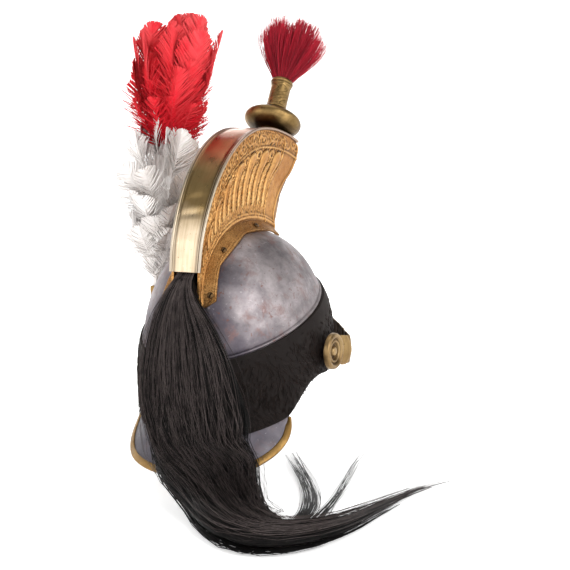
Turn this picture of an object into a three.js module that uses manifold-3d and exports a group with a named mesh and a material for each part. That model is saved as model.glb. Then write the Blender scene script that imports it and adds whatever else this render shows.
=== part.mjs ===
// Cuirassier helmet: steel skull, fur turban, embossed brass crest, horsehair mane, feather plume.
// Millimetres, +Z up. The front of the helmet faces -Y and the wearer's left is +X.
// The origin is the middle of the head opening at ear height.
import * as THREE from 'three';
import { mergeVertices } from 'three/addons/utils/BufferGeometryUtils.js';
import Module from 'manifold-3d';

const wasm = await Module();
wasm.setup();

// Driving dimensions

const clear = 0.35; // gap between pieces that touch
const around = 40; // facets round the skull

const skull = { halfWidth: 95, halfLength: 114, springZ: 40, rise: 133, power: 2.23, wall: 1.6 };
const rim = { centreZ: 88.5, slopeDeg: 21.4, beadHeight: 3.2, beadProud: 1.3 };

// Lower edge of skull and turban, from the back (0) to the front (180).
const lowerEdge = [
  { deg: 0, z: -32 },
  { deg: 41, z: -28 },
  { deg: 56, z: -21 },
  { deg: 66, z: -15 },
  { deg: 74, z: 2 },
  { deg: 82, z: 16 },
  { deg: 92, z: 21 },
  { deg: 105, z: 20 },
  { deg: 122, z: 30 },
  { deg: 140, z: 43 },
  { deg: 180, z: 55 },
];

// Fur thickness over the height of the turban, from its lower edge (0) to the rim (1).
const turbanFur = [
  { height: 0, thick: 3.5 },
  { height: 0.14, thick: 5.4 },
  { height: 0.5, thick: 6 },
  { height: 0.86, thick: 5.2 },
  { height: 1, thick: 2.2 },
];

const neckGuard = { centreDeg: 0, spanDeg: 66.5, drop: 36, reach: 17, corner: 2.7, bow: 1.4, plate: 1.4 };
const visor = { centreDeg: 180, spanDeg: 58, drop: 22, reach: 34, corner: 2.7, bow: 1.1, plate: 1.4 };
const trim = { width: 6, proud: 1.3 };

const crest = { halfWidthLow: 15.7, lowZ: 133, halfWidthHigh: 19.3, highZ: 277, plate: 1.4 };
const crestFoot = {
  backDeg: 29.5, frontDeg: 113, lowLift: 2, lift: 7, widen: 6, widenShare: 0.22, side: 0.4,
};
const flange = { reach: 13.5, tip: 0.25, backTaper: 0.07, frontTaper: 0.05 };
const screw = { radius: 3.2, height: 1.6, sides: 8 };
const flutes = {
  count: 9, height: 1.9, steps: 3, from: 0.02, to: 0.9, headLevel: 0.8, headLength: 0.12, tailLength: 0.2,
};

// Outer edge of the crest plates, from the lower end at the back to the peak.
const crestTop = [
  { y: 102.5, z: 133 },
  { y: 97, z: 165 },
  { y: 82, z: 202 },
  { y: 61, z: 233 },
  { y: 31, z: 259 },
  { y: -5, z: 274 },
  { y: -43, z: 276 },
  { y: -80, z: 270 },
  { y: -101, z: 263 },
];

// Front edge of the crest plates, from the skull to the peak.
const crestFront = [
  { y: -53, z: 168 },
  { y: -51, z: 182 },
  { y: -58, z: 201 },
  { y: -71, z: 217 },
  { y: -88, z: 229 },
  { y: -98, z: 240 },
  { y: -105, z: 254 },
  { y: -101, z: 263 },
];

const band = { thick: 1.4, overhang: 0.9, wire: 1.5, steps: 18 };
const frontStrip = { thick: 1.2, inset: 2.4, crown: 0.8, from: 0.02, to: 0.95, steps: 12 };

const finial = { y: -81, z: 289, leanDeg: 27, sides: 18 };
const knob = { radius: 32, top: 9, neckRadius: 13, neckDepth: 26 };
const tube = { radius: 11.4, height: 39 };
const tuft = { baseRadius: 9.5, topRadius: 34, height: 74, locks: 7 };

const boss = { x: 107.4, y: -9, z: 45.5, radius: 19.3, sides: 16, studRadius: 3.4, studGap: 5.9 };
const scales = { count: 12, startWidth: 32, endWidth: 21, startDeg: 98, endDeg: 178 };

// Route of the chin scales from the boss (0) to the front (1): distance from the skull and height.
const scaleRoute = [
  { share: 0, lift: 8.8, z: 45.5 },
  { share: 0.08, lift: 11, z: 43.5 },
  { share: 0.2, lift: 21.5, z: 41 },
  { share: 0.36, lift: 17, z: 43 },
  { share: 0.62, lift: 10, z: 57 },
  { share: 1, lift: 7.6, z: 76 },
];

const socket = { x: 112, y: -9, bottomZ: boss.z + boss.radius + clear, height: 38, radius: 6 };
const plume = { topX: 92, topY: -44, topZ: 412, changeZ: 268, sides: 8, fullDeg: 28, bladeDepth: 4 };

// Radius of the plume's full middle over its height.
const plumeCore = [
  { z: 103.5, radius: 5 },
  { z: 122, radius: 7 },
  { z: 152, radius: 19 },
  { z: 200, radius: 25 },
  { z: 248, radius: 24 },
  { z: 267.6, radius: 20 },
  { z: 268, radius: 20 },
  { z: 296, radius: 37 },
  { z: 340, radius: 38 },
  { z: 378, radius: 24 },
  { z: 394, radius: 6 },
];

// Route of the mane: middle of the bundle, half its width and depth, and how far it hugs the back.
const maneRoute = [
  { x: 0, y: 97, z: 129, wide: 9.5, deep: 4.5, drape: 0 },
  { x: 0, y: 107.5, z: 120, wide: 11, deep: 5, drape: 0 },
  { x: 0, y: 114.5, z: 104, wide: 21, deep: 6.5, drape: 1 },
  { x: -3, y: 119.5, z: 86, wide: 33, deep: 8, drape: 1 },
  { x: -9, y: 128.7, z: 52, wide: 46, deep: 9, drape: 1 },
  { x: -13, y: 131.7, z: 15, wide: 51, deep: 9, drape: 1 },
  { x: -18, y: 131.5, z: -14, wide: 51, deep: 9, drape: 1 },
  { x: -34, y: 134.5, z: -36, wide: 41, deep: 9, drape: 1 },
  { x: -52, y: 143, z: -58, wide: 31, deep: 9, drape: 0.9 },
  { x: -77, y: 166, z: -73, wide: 28, deep: 10, drape: 0.3 },
  { x: -114, y: 206, z: -78.5, wide: 31, deep: 10, drape: 0 },
  { x: -154, y: 229, z: -80, wide: 34, deep: 9.5, drape: 0 },
  { x: -185, y: 205, z: -81, wide: 24, deep: 8, drape: 0 },
  { x: -200, y: 155, z: -83, wide: 18, deep: 6, drape: 0 },
  { x: -203, y: 90, z: -85, wide: 12, deep: 4, drape: 0 },
  { x: -212, y: 0, z: -87, wide: 6, deep: 2.4, drape: 0 },
  { x: -232, y: -58, z: -88.4, wide: 2.4, deep: 1.4, drape: 0 },
];
const mane = { locks: 6, steps: 12, sides: 4, backGrow: 14 };

// Stray locks that leave the bundle on the ground: route points of each.
const sideLocks = [
  [[-150, 196, -82], [-138, 118, -85], [-102, 30, -86.5], [-26, -72, -87.5]],
  [[-178, 190, -83], [-172, 110, -85], [-146, 8, -86.5], [-110, -108, -87.5]],
  [[-158, 198, -82], [-160, 130, -85], [-136, 60, -86.5], [-96, -6, -87.5]],
];

// Finishes

const finish = {
  steel: { color: 0x8d8b94, roughness: 0.38, metalness: 1 },
  fur: { color: 0x2d2624, roughness: 1, metalness: 0 },
  embossedBrass: { color: 0xb98a4e, roughness: 0.45, metalness: 1 },
  smoothBrass: { color: 0xb79a5c, roughness: 0.25, metalness: 1 },
  darkBronze: { color: 0x6e5532, roughness: 0.5, metalness: 1 },
  hair: { color: 0x1c1718, roughness: 0.7, metalness: 0 },
  crimson: { color: 0xa02337, roughness: 0.8, metalness: 0 },
  redFeather: { color: 0xe12d37, roughness: 0.9, metalness: 0 },
  whiteFeather: { color: 0xdcd3ce, roughness: 0.9, metalness: 0 },
};

// General helpers

const radians = THREE.MathUtils.degToRad;
const lerp = THREE.MathUtils.lerp;
const clamp = THREE.MathUtils.clamp;
const vec = (x, y, z) => new THREE.Vector3(x, y, z);

function range(count) {
  return Array.from({ length: count }, (_, index) => index);
}

function evenSteps(from, to, steps) {
  return range(steps + 1).map((index) => lerp(from, to, index / steps));
}

// Value of one column of a table at a given key, on straight lines between its rows.
function tableAt(rows, keyName, columnName, key) {
  let next = rows.findIndex((row) => row[keyName] >= key);
  if (next < 0) {
    next = rows.length - 1;
  }
  const before = rows[Math.max(next - 1, 0)];
  const after = rows[next];
  const span = after[keyName] - before[keyName];
  const share = span === 0 ? 0 : clamp((key - before[keyName]) / span, 0, 1);
  return lerp(before[columnName], after[columnName], share);
}

// Smooth curve in the middle plane through rows with y and z.
function sideCurve(rows) {
  return new THREE.CatmullRomCurve3(rows.map((row) => vec(0, row.y, row.z)), false, 'centripetal');
}

// Repeatable spread of numbers between -1 and 1.
function scatter(index, salt) {
  const wave = Math.sin(index * 127.1 + salt * 311.7) * 43758.5453;
  return 2 * (wave - Math.floor(wave)) - 1;
}

// Closed body from points and triangles: shared points merged, flat triangles dropped, faces out.
function closedBody(points, triangles) {
  const loose = new THREE.BufferGeometry();
  loose.setFromPoints(points);
  loose.setIndex(triangles.flat());
  const merged = mergeVertices(loose, 1e-4);
  const spot = merged.getAttribute('position');
  const index = merged.getIndex().array;
  const corner = range(3).map(() => new THREE.Vector3());
  const kept = [];
  let volume = 0;
  for (let start = 0; start < index.length; start += 3) {
    const [a, b, c] = index.slice(start, start + 3);
    if (a === b || b === c || c === a) {
      continue;
    }
    kept.push([a, b, c]);
    corner.forEach((point, side) => point.fromBufferAttribute(spot, [a, b, c][side]));
    volume += corner[0].dot(corner[1].clone().cross(corner[2]));
  }
  const outward = volume > 0 ? kept : kept.map(([a, b, c]) => [a, c, b]);
  merged.setIndex(outward.flat());
  return merged;
}

// Body through loops of points. A ring joins the last loop to the first; otherwise the ends are capped.
function loft(loops, { ring = false, cap = null } = {}) {
  const size = loops[0].length;
  const points = loops.flat();
  const triangles = [];
  const spans = ring ? loops.length : loops.length - 1;
  for (let row = 0; row < spans; row += 1) {
    const here = row * size;
    const there = ((row + 1) % loops.length) * size;
    for (let side = 0; side < size; side += 1) {
      const next = (side + 1) % size;
      triangles.push([here + side, here + next, there + next]);
      triangles.push([here + side, there + next, there + side]);
    }
  }
  if (!ring) {
    const faces = cap ?? range(size - 2).map((side) => [0, side + 1, side + 2]);
    const last = (loops.length - 1) * size;
    faces.forEach(([a, b, c]) => {
      triangles.push([c, b, a]);
      triangles.push([last + a, last + b, last + c]);
    });
  }
  return closedBody(points, triangles);
}

// Cap of a loop that runs along one skin of a wall and back along the other.
function wallCap(outerCount, innerCount) {
  const innerIndex = (item) => outerCount + innerCount - 1 - item;
  const faces = [];
  let outer = 0;
  let inner = 0;
  while (outer < outerCount - 1 || inner < innerCount - 1) {
    const outerNext = (outer + 1) / (outerCount - 1);
    const innerNext = (inner + 1) / (innerCount - 1);
    if (outerNext <= innerNext) {
      faces.push([outer, outer + 1, innerIndex(inner)]);
      outer += 1;
    } else {
      faces.push([outer, innerIndex(inner + 1), innerIndex(inner)]);
      inner += 1;
    }
  }
  return faces;
}

// Cap of a loop from its flat section, which may be hollow at one side.
function sectionCap(section) {
  const outline = section.map(([x, y]) => new THREE.Vector2(x, y));
  const turn = Math.sign(THREE.ShapeUtils.area(outline));
  return THREE.ShapeUtils.triangulateShape(outline, []).map(([a, b, c]) => {
    const faceTurn = Math.sign(THREE.ShapeUtils.area([outline[a], outline[b], outline[c]]));
    return faceTurn === turn ? [a, b, c] : [c, b, a];
  });
}

// Plate between two grids of points, rows by columns.
function plateBetween(outer, inner) {
  const loops = outer.map((row, index) => [...row, ...inner[index].slice().reverse()]);
  return loft(loops, { cap: wallCap(outer[0].length, inner[0].length) });
}

// Unit normals of a grid of points.
function gridNormals(grid) {
  return grid.map((row, r) => row.map((_, c) => {
    const up = grid[Math.max(r - 1, 0)][c];
    const down = grid[Math.min(r + 1, grid.length - 1)][c];
    const left = row[Math.max(c - 1, 0)];
    const right = row[Math.min(c + 1, row.length - 1)];
    return down.clone().sub(up).cross(right.clone().sub(left)).normalize();
  }));
}

function offsetGrid(grid, normals, amount) {
  return grid.map((row, r) => row.map((point, c) => point.clone().addScaledVector(normals[r][c], amount)));
}

// Turned body about +Z from a profile of [radius, height] points that starts and ends on the axis.
function turned(profile, sides) {
  const lathe = new THREE.LatheGeometry(profile.map(([r, h]) => new THREE.Vector2(r, h)), sides);
  lathe.rotateX(Math.PI / 2);
  const spot = lathe.getAttribute('position');
  const points = range(spot.count).map((item) => new THREE.Vector3().fromBufferAttribute(spot, item));
  const index = Array.from(lathe.getIndex().array);
  return closedBody(points, range(index.length / 3).map((face) => index.slice(face * 3, face * 3 + 3)));
}

function toManifold(geometry) {
  return new wasm.Manifold(new wasm.Mesh({
    numProp: 3,
    vertProperties: new Float32Array(geometry.getAttribute('position').array),
    triVerts: new Uint32Array(geometry.getIndex().array),
  }));
}

function fromManifold(body) {
  const mesh = body.getMesh();
  const geometry = new THREE.BufferGeometry();
  geometry.setAttribute('position', new THREE.BufferAttribute(mesh.vertProperties, 3));
  geometry.setIndex(new THREE.BufferAttribute(mesh.triVerts, 1));
  return geometry;
}

// One body from several that overlap. Hollows that they close off between them are filled.
function fused(bodies) {
  const shells = bodies.map(toManifold).reduce((sum, body) => sum.add(body)).decompose();
  return shells.reduce((largest, shell) => (shell.volume() > largest.volume() ? shell : largest));
}

// Strand along a curve: its width direction and its half width and half depth at each step.
function strand(curve, { steps, sides, across, size }) {
  const loops = evenSteps(0, 1, steps).map((share) => {
    const along = curve.getTangent(share);
    const wish = across(share);
    const side = wish.clone().addScaledVector(along, -wish.dot(along)).normalize();
    const out = along.clone().cross(side);
    const [wide, deep] = size(share);
    const middle = curve.getPoint(share);
    return range(sides).map((corner) => {
      const turn = ((corner + 0.5) / sides) * 2 * Math.PI;
      const offset = side.clone().multiplyScalar(wide * Math.cos(turn));
      offset.addScaledVector(out, deep * Math.sin(turn));
      return middle.clone().add(offset);
    });
  });
  return loft(loops);
}

// Skull, turban and the plates under it

const tanRim = Math.tan(radians(rim.slopeDeg));

// Point of the skull's surface, grown outwards by an amount. Angle 0 is the back, 90 the wearer's left.
function skullPoint(deg, z, grow = 0) {
  const height = clamp((z - skull.springZ) / (skull.rise + grow), 0, 1);
  const share = (1 - height ** skull.power) ** (1 / skull.power);
  const turn = radians(deg);
  const x = (skull.halfWidth + grow) * share * Math.sin(turn);
  const y = (skull.halfLength + grow) * share * Math.cos(turn);
  return vec(x, y, z);
}

// Height at which the sloping rim plane meets the skull.
function rimHeight(deg) {
  let z = rim.centreZ;
  for (let round = 0; round < 30; round += 1) {
    z = rim.centreZ - skullPoint(deg, z).y * tanRim;
  }
  return z;
}

function fromBack(deg) {
  return Math.abs(((deg + 540) % 360) - 180);
}

const facetDeg = 360 / around;
const azimuths = range(around).map((index) => index * facetDeg);

// Height of the lower edge, straight along each facet of the skull.
function lowerHeight(deg) {
  const before = Math.floor(deg / facetDeg) * facetDeg;
  const [start, end] = [before, before + facetDeg].map((at) => tableAt(lowerEdge, 'deg', 'z', fromBack(at)));
  return lerp(start, end, (deg - before) / facetDeg);
}

function makeSkull() {
  const domeRows = 5;
  const innerRows = [0, 2, 4];
  const topZ = skull.springZ + skull.rise;
  const profiles = azimuths.map((deg) => {
    const rimZ = rimHeight(deg);
    const lowZ = lowerHeight(deg);
    const start = (rimZ + rim.beadHeight - skull.springZ) / skull.rise;
    const startTurn = Math.asin(start ** (skull.power / 2));
    const domeZ = range(domeRows).map((row) => {
      const turn = lerp(Math.PI / 2, startTurn, row / domeRows);
      return skull.springZ + skull.rise * Math.sin(turn) ** (2 / skull.power);
    });
    const beadMid = rimZ + rim.beadHeight * 0.75;
    const outer = domeZ.map((z) => skullPoint(deg, z));
    const bead = [
      skullPoint(deg, rimZ + rim.beadHeight),
      skullPoint(deg, beadMid, rim.beadProud),
      skullPoint(deg, rimZ + rim.beadHeight * 0.15, rim.beadProud),
      skullPoint(deg, rimZ),
    ];
    const drum = [skullPoint(deg, lerp(lowZ, rimZ, 0.5)), skullPoint(deg, lowZ)];
    const inside = [lowZ, lerp(lowZ, rimZ, 0.5)].map((z) => skullPoint(deg, z, -skull.wall));
    const lowering = 1 - skull.wall / topZ;
    const vault = innerRows.map((row) => skullPoint(deg, domeZ[row] * lowering, -skull.wall)).reverse();
    vault[vault.length - 1] = vec(0, 0, topZ - skull.wall);
    return [...outer, ...bead, ...drum, ...inside, ...vault];
  });
  return loft(profiles, { ring: true });
}

function makeTurban() {
  const topGap = 0.5;
  const loops = azimuths.map((deg) => {
    const lowZ = lowerHeight(deg);
    const topZ = rimHeight(deg) - topGap;
    const outer = turbanFur.map((row) => skullPoint(deg, lerp(lowZ, topZ, row.height), row.thick));
    const inner = [1, 0.5, 0].map((height) => skullPoint(deg, lerp(lowZ, topZ, height), clear));
    return [...outer, ...inner];
  });
  return loft(loops, { ring: true });
}

// Plate that hangs from the lower edge between two angles, and the channel folded over its edge.
function makePeak(spec) {
  const rows = 4;
  const endDeg = spec.spanDeg * 0.98;
  const facets = Math.floor(endDeg / facetDeg);
  const facetEdges = range(2 * facets + 1).map((item) => (item - facets) * facetDeg);
  const degrees = [-endDeg, ...facetEdges, endDeg];
  const middle = degrees.map((offset) => {
    const deg = spec.centreDeg + offset;
    const fullness = (1 - Math.abs(offset / spec.spanDeg) ** spec.corner) ** (1 / spec.corner);
    const rootZ = lowerHeight(deg) - clear;
    return range(rows).map((row) => {
      const share = row / (rows - 1);
      const z = rootZ - spec.drop * fullness * share;
      return skullPoint(deg, z, -skull.wall / 2 + spec.reach * fullness * share ** spec.bow);
    });
  });
  const normals = gridNormals(middle);
  normals.forEach((row) => row[0].set(row[0].x, row[0].y, 0).normalize());
  const outer = offsetGrid(middle, normals, spec.plate / 2);
  const inner = offsetGrid(middle, normals, -spec.plate / 2);
  const wall = spec.plate / 2 + clear;
  const skin = wall + trim.proud;
  const channel = [
    [trim.width, wall], [-clear, wall], [-clear, -wall], [trim.width, -wall],
    [trim.width, -skin], [-trim.proud, -skin], [-2 * trim.proud, -wall],
    [-2 * trim.proud, wall], [-trim.proud, skin], [trim.width, skin],
  ];
  const loops = middle.map((row, index) => {
    const edge = row[rows - 1];
    const inward = row[rows - 2].clone().sub(edge).normalize();
    const normal = normals[index][rows - 1];
    return channel.map(([s, n]) => edge.clone().addScaledVector(inward, s).addScaledVector(normal, n));
  });
  return { plate: plateBetween(outer, inner), trim: loft(loops, { cap: sectionCap(channel) }) };
}

// Crest

const topCurve = sideCurve(crestTop);
const frontCurve = sideCurve(crestFront);
const crestFrontStart = frontCurve.getPointAt(0);

function crestHalfWidth(z) {
  const share = (z - crest.lowZ) / (crest.highZ - crest.lowZ);
  return lerp(crest.halfWidthLow, crest.halfWidthHigh, clamp(share, -0.3, 1));
}

// Point on the grown skull at a distance x from the middle, at an angle over the top: 0 back, 180 front.
function skullOver(x, overDeg, grow) {
  const turn = radians(overDeg);
  let low = 0;
  let high = skull.rise + skull.halfLength;
  for (let round = 0; round < 40; round += 1) {
    const reach = (low + high) / 2;
    const back = reach * Math.cos(turn);
    const flat = Math.hypot(x / (skull.halfWidth + grow), back / (skull.halfLength + grow));
    const tall = (reach * Math.sin(turn)) / (skull.rise + grow);
    if (flat ** skull.power + tall ** skull.power < 1) {
      low = reach;
    } else {
      high = reach;
    }
  }
  return vec(x, low * Math.cos(turn), skull.springZ + low * Math.sin(turn));
}

// Foot of the crest plate: where the flange turns out, a little above the skull.
function footPoint(share) {
  const over = lerp(crestFoot.backDeg, crestFoot.frontDeg, share);
  const lift = crestFoot.lowLift + crestFoot.lift * Math.sin(Math.PI * Math.min(share * 0.62, 0.5));
  const widen = crestFoot.widen * Math.max(0, 1 - share / crestFoot.widenShare) ** 2;
  return skullOver(crestHalfWidth(crest.lowZ) + crestFoot.side + widen, over, lift);
}

function flangePoint(share, out) {
  const foot = footPoint(share);
  const over = THREE.MathUtils.radToDeg(Math.atan2(foot.z - skull.springZ, foot.y));
  const backTaper = flange.tip + share / flange.backTaper;
  const frontTaper = flange.tip + (1 - share) / flange.frontTaper;
  const reach = flange.reach * Math.min(1, backTaper, frontTaper);
  const border = skullOver(foot.x + reach, over, clear + crest.plate);
  return foot.clone().lerp(border, out);
}

// Height of the raised ornament on the plate: share along the crest, level from foot (0) to top (1).
function ornament(share, level) {
  if (share > flutes.to || share < flutes.from) {
    return 0;
  }
  const wave = Math.abs(Math.sin((share / flutes.to) * flutes.count * Math.PI));
  const head = clamp((flutes.headLevel - level) / flutes.headLength, 0, 1);
  const tail = clamp(level / flutes.tailLength, 0.15, 1);
  return flutes.height * wave * head * tail;
}

// Plate of one side, built on the wearer's left.
function makeCrestSide() {
  const columns = flutes.count * flutes.steps + 4;
  const levels = [0, 0.22, 0.5, 0.68, 0.8, 0.84, 0.9, 1];
  const flangeSteps = [1, 0.45];
  const bandRise = { from: 0.82, height: 1.1 };
  const shares = evenSteps(0, 1, columns);
  const backFoot = footPoint(0);
  const frontFoot = footPoint(1);
  const grid = shares.map((share) => {
    const foot = footPoint(share);
    const top = topCurve.getPointAt(share);
    const rowFlange = flangeSteps.map((out) => flangePoint(share, out));
    const rowPlate = levels.map((level) => {
      const back = backFoot.clone().lerp(topCurve.getPointAt(0), level);
      const front = frontCurve.getPointAt(level);
      front.add(frontFoot.clone().sub(crestFrontStart).multiplyScalar(1 - level));
      const straight = foot.clone().lerp(top, level);
      const ends = back.lerp(front, share);
      const cornerLow = backFoot.clone().lerp(frontFoot, share);
      const cornerHigh = topCurve.getPointAt(0).lerp(topCurve.getPointAt(1), share);
      const point = straight.add(ends).sub(cornerLow.lerp(cornerHigh, level));
      const lean = lerp(foot.x, crestHalfWidth(point.z), clamp(level / 0.22, 0, 1));
      return vec(lean, point.y, point.z);
    });
    return [...rowFlange, ...rowPlate];
  });
  const normals = gridNormals(grid);
  normals.flat().filter((normal) => normal.x < 0).forEach((normal) => normal.negate());
  const innerSteps = [0, 2, 3, 5, 9];
  const inner = offsetGrid(grid, normals, -crest.plate).map((row) => innerSteps.map((step) => row[step]));
  const outer = grid.map((row, column) => row.map((point, step) => {
    const level = levels[step - flangeSteps.length];
    const raised = level === undefined ? 0 : ornament(shares[column], level);
    const scroll = level >= bandRise.from && level < 1 ? bandRise.height : 0;
    return point.clone().addScaledVector(normals[column][step], raised + scroll);
  }));
  return plateBetween(outer, inner);
}

// Frame on a curve of the middle plane: the point and the direction that faces away from the skull.
function edgeFrame(curve, share, flip) {
  const along = curve.getTangentAt(share);
  const out = vec(0, along.z, -along.y).multiplyScalar(flip);
  return { point: curve.getPointAt(share), out };
}

// Section of the smooth strip: a flat sole, a low crown and a wire along each edge.
function bandSection(z, grown, depth) {
  const half = crestHalfWidth(z) + band.overhang + grown;
  const low = clear - depth;
  const high = clear + band.thick + grown;
  const wireTop = high + band.wire;
  const rightSide = [
    [half, low], [half + band.wire, high], [half + 0.4, wireTop], [half - band.wire, wireTop],
    [half - 2 * band.wire, high],
  ];
  const leftSide = rightSide.map(([x, rise]) => [-x, rise]).reverse();
  return [...rightSide, [0, high + 0.5], ...leftSide];
}

// Smooth strip over the top and back. A grown copy fills the crest below it, to trim what stands on it.
function makeBand(grown = 0, depth = 0) {
  const loops = evenSteps(0, 1, band.steps).map((share) => {
    const { point, out } = edgeFrame(topCurve, share, 1);
    return bandSection(point.z, grown, depth).map(([x, rise]) => {
      return point.clone().addScaledVector(out, rise).add(vec(x, 0, 0));
    });
  });
  return loft(loops, { cap: sectionCap(bandSection(crest.highZ, grown, depth)) });
}

// Plain strip that closes the crest's front, set between the two plates.
function makeFrontStrip() {
  const { thick, inset, crown, from, to, steps } = frontStrip;
  const loops = evenSteps(from, to, steps).map((share) => {
    const { point, out } = edgeFrame(frontCurve, share, -1);
    const half = crestHalfWidth(point.z) - inset;
    const section = [[-half, -thick], [half, -thick], [half, 0], [0, crown], [-half, 0]];
    return section.map(([x, rise]) => point.clone().addScaledVector(out, rise - 1).add(vec(x, 0, 0)));
  });
  return loft(loops);
}

function makeScrew() {
  const { radius, height, sides } = screw;
  const profile = [[0, height], [radius * 0.6, height * 0.85], [radius, height * 0.4], [radius, 0], [0, 0]];
  return turned(profile, sides);
}

// Places of the screws on a flange of the wearer's left: share along the crest.
const screwShares = [0.075, 0.36, 0.72];

function screwFrame(share) {
  const step = 0.01;
  const out = 0.55;
  const point = flangePoint(share, out);
  const along = flangePoint(share + step, out).sub(flangePoint(share - step, out));
  const across = flangePoint(share, out + step).sub(flangePoint(share, out - step));
  const normal = across.cross(along).normalize();
  if (normal.x < 0) {
    normal.negate();
  }
  return { point: point.addScaledVector(normal, clear + 0.2), normal };
}

// Finial

function onFinial(geometry) {
  geometry.rotateX(radians(finial.leanDeg));
  geometry.translate(0, finial.y, finial.z);
  return geometry;
}

function makeKnob() {
  const { radius, top, neckRadius, neckDepth } = knob;
  const profile = [
    [0, top], [neckRadius, top], [radius * 0.62, top * 0.86], [radius * 0.88, top * 0.5], [radius, 0],
    [radius * 0.95, -top * 0.4], [radius * 0.74, -top * 0.85], [neckRadius + 3, -top * 1.15],
    [neckRadius, -neckDepth], [0, -neckDepth],
  ];
  const body = toManifold(onFinial(turned(profile, finial.sides)));
  const crestBelow = toManifold(makeBand(clear, 40));
  return fromManifold(body.subtract(crestBelow));
}

function makeTube() {
  const { radius, height } = tube;
  const ring = radius + 1.6;
  const bottom = knob.top + clear;
  const rows = [
    [0, 0], [ring, 0], [ring, 3], [radius, 4], [radius, 11], [ring, 12.5], [radius, 14],
    [radius, height - 8], [ring, height - 6], [ring, height], [0, height],
  ];
  return onFinial(turned(rows.map(([r, h]) => [r, h + bottom]), finial.sides));
}

function makeTuft() {
  const bottom = knob.top + clear + tube.height + clear;
  const head = turned([[0, 0], [tuft.baseRadius, 0], [tuft.baseRadius + 2, 16], [0, 30]], 8);
  head.translate(0, 0, bottom);
  const locks = range(tuft.locks).map((lock) => {
    const ringShare = lock === 0 ? 0 : 1;
    const turn = (lock / (tuft.locks - 1)) * 2 * Math.PI;
    const reach = (share) => ringShare * lerp(tuft.baseRadius * 0.7, tuft.topRadius * 0.82, share ** 1.25);
    const tall = tuft.height * (0.93 + 0.07 * scatter(lock, 5)) * (1 - 0.08 * ringShare);
    const curve = new THREE.CatmullRomCurve3(evenSteps(0, 1, 4).map((share) => {
      const far = reach(share);
      return vec(far * Math.cos(turn), far * Math.sin(turn), bottom + 2 + share * tall);
    }));
    const size = (share) => {
      const half = lerp(3.6, 11.5, Math.min(share / 0.8, 1)) * (share > 0.95 ? 0.7 : 1);
      return [half, half];
    };
    return strand(curve, { steps: 3, sides: 4, across: () => vec(1, 0, 0), size });
  });
  return onFinial(fromManifold(fused([head, ...locks])));
}

// Bosses and chin scales

const scaleLift = { thin: 1.2, thick: 2.9, crown: 1.2 };

// Turned rosette with the stud that carries it.
function makeBoss() {
  const { radius, studRadius } = boss;
  const studLength = boss.x - skull.halfWidth - boss.studGap;
  const profile = [
    [0, 6.4], [3.6, 5.8], [5, 2.2], [8.4, 2.2], [9.4, 5], [11.4, 5.6], [12.8, 4.4],
    [15, 7.2], [17.8, 6.8], [radius, 4], [radius, 0], [studRadius, 0],
    [studRadius, -studLength], [0, -studLength],
  ];
  return turned(profile, boss.sides);
}

// Chin scales of the wearer's left: overlapping plates from the boss round to the front.
function makeScales() {
  const step = 1 / scales.count;
  const lap = 0.02 * step;
  const stations = range(scales.count).flatMap((item) => [
    { share: item * step + (item === 0 ? 0 : lap), thick: scaleLift.thin },
    { share: (item + 1) * step - lap, thick: scaleLift.thick },
  ]);
  const place = (share) => {
    const deg = lerp(scales.startDeg, scales.endDeg, share);
    const z = tableAt(scaleRoute, 'share', 'z', share);
    return skullOutside(deg, z, tableAt(scaleRoute, 'share', 'lift', share));
  };
  const loops = stations.map(({ share, thick }) => {
    const point = place(share);
    const along = place(Math.min(share + 0.01, 1)).sub(place(Math.max(share - 0.01, 0))).normalize();
    const upward = vec(0, 0, 1).addScaledVector(along, -along.z).normalize();
    const out = upward.clone().cross(along).multiplyScalar(-1).normalize();
    const half = lerp(scales.startWidth, scales.endWidth, share) / 2;
    const section = [
      [-half, 0], [half, 0], [half, thick], [half * 0.5, thick + scaleLift.crown * 0.8],
      [-half * 0.5, thick + scaleLift.crown * 0.8], [-half, thick],
    ];
    return section.map(([w, n]) => point.clone().addScaledVector(upward, w).addScaledVector(out, n));
  });
  return loft(loops);
}

// Point at a fixed distance outside the upright wall of the skull.
function skullOutside(deg, z, grow) {
  return skullPoint(deg, Math.min(z, skull.springZ), grow).setZ(z);
}

// Mane

const maneCurve = new THREE.CatmullRomCurve3(
  maneRoute.map((row) => vec(row.x, row.y, row.z)), false, 'centripetal',
);
const maneTable = maneRoute.map((row, index) => ({ ...row, share: index / (maneRoute.length - 1) }));

// Width direction of the mane: across the back of the helmet, then level with the ground.
function maneFrame(share) {
  const along = maneCurve.getTangent(share);
  const away = vec(0, 1, 0).lerp(vec(0, 0, 1), clamp((share - 0.5) / 0.12, 0, 1)).normalize();
  const side = away.clone().cross(along).normalize();
  const out = along.clone().cross(side).normalize();
  return { point: maneCurve.getPoint(share), side, out };
}

// How far back the helmet reaches at a distance from the middle.
function backDepth(x) {
  const share = clamp(x / (skull.halfWidth + mane.backGrow), -1, 1);
  return (skull.halfLength + mane.backGrow) * Math.sqrt(1 - share * share);
}

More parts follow.
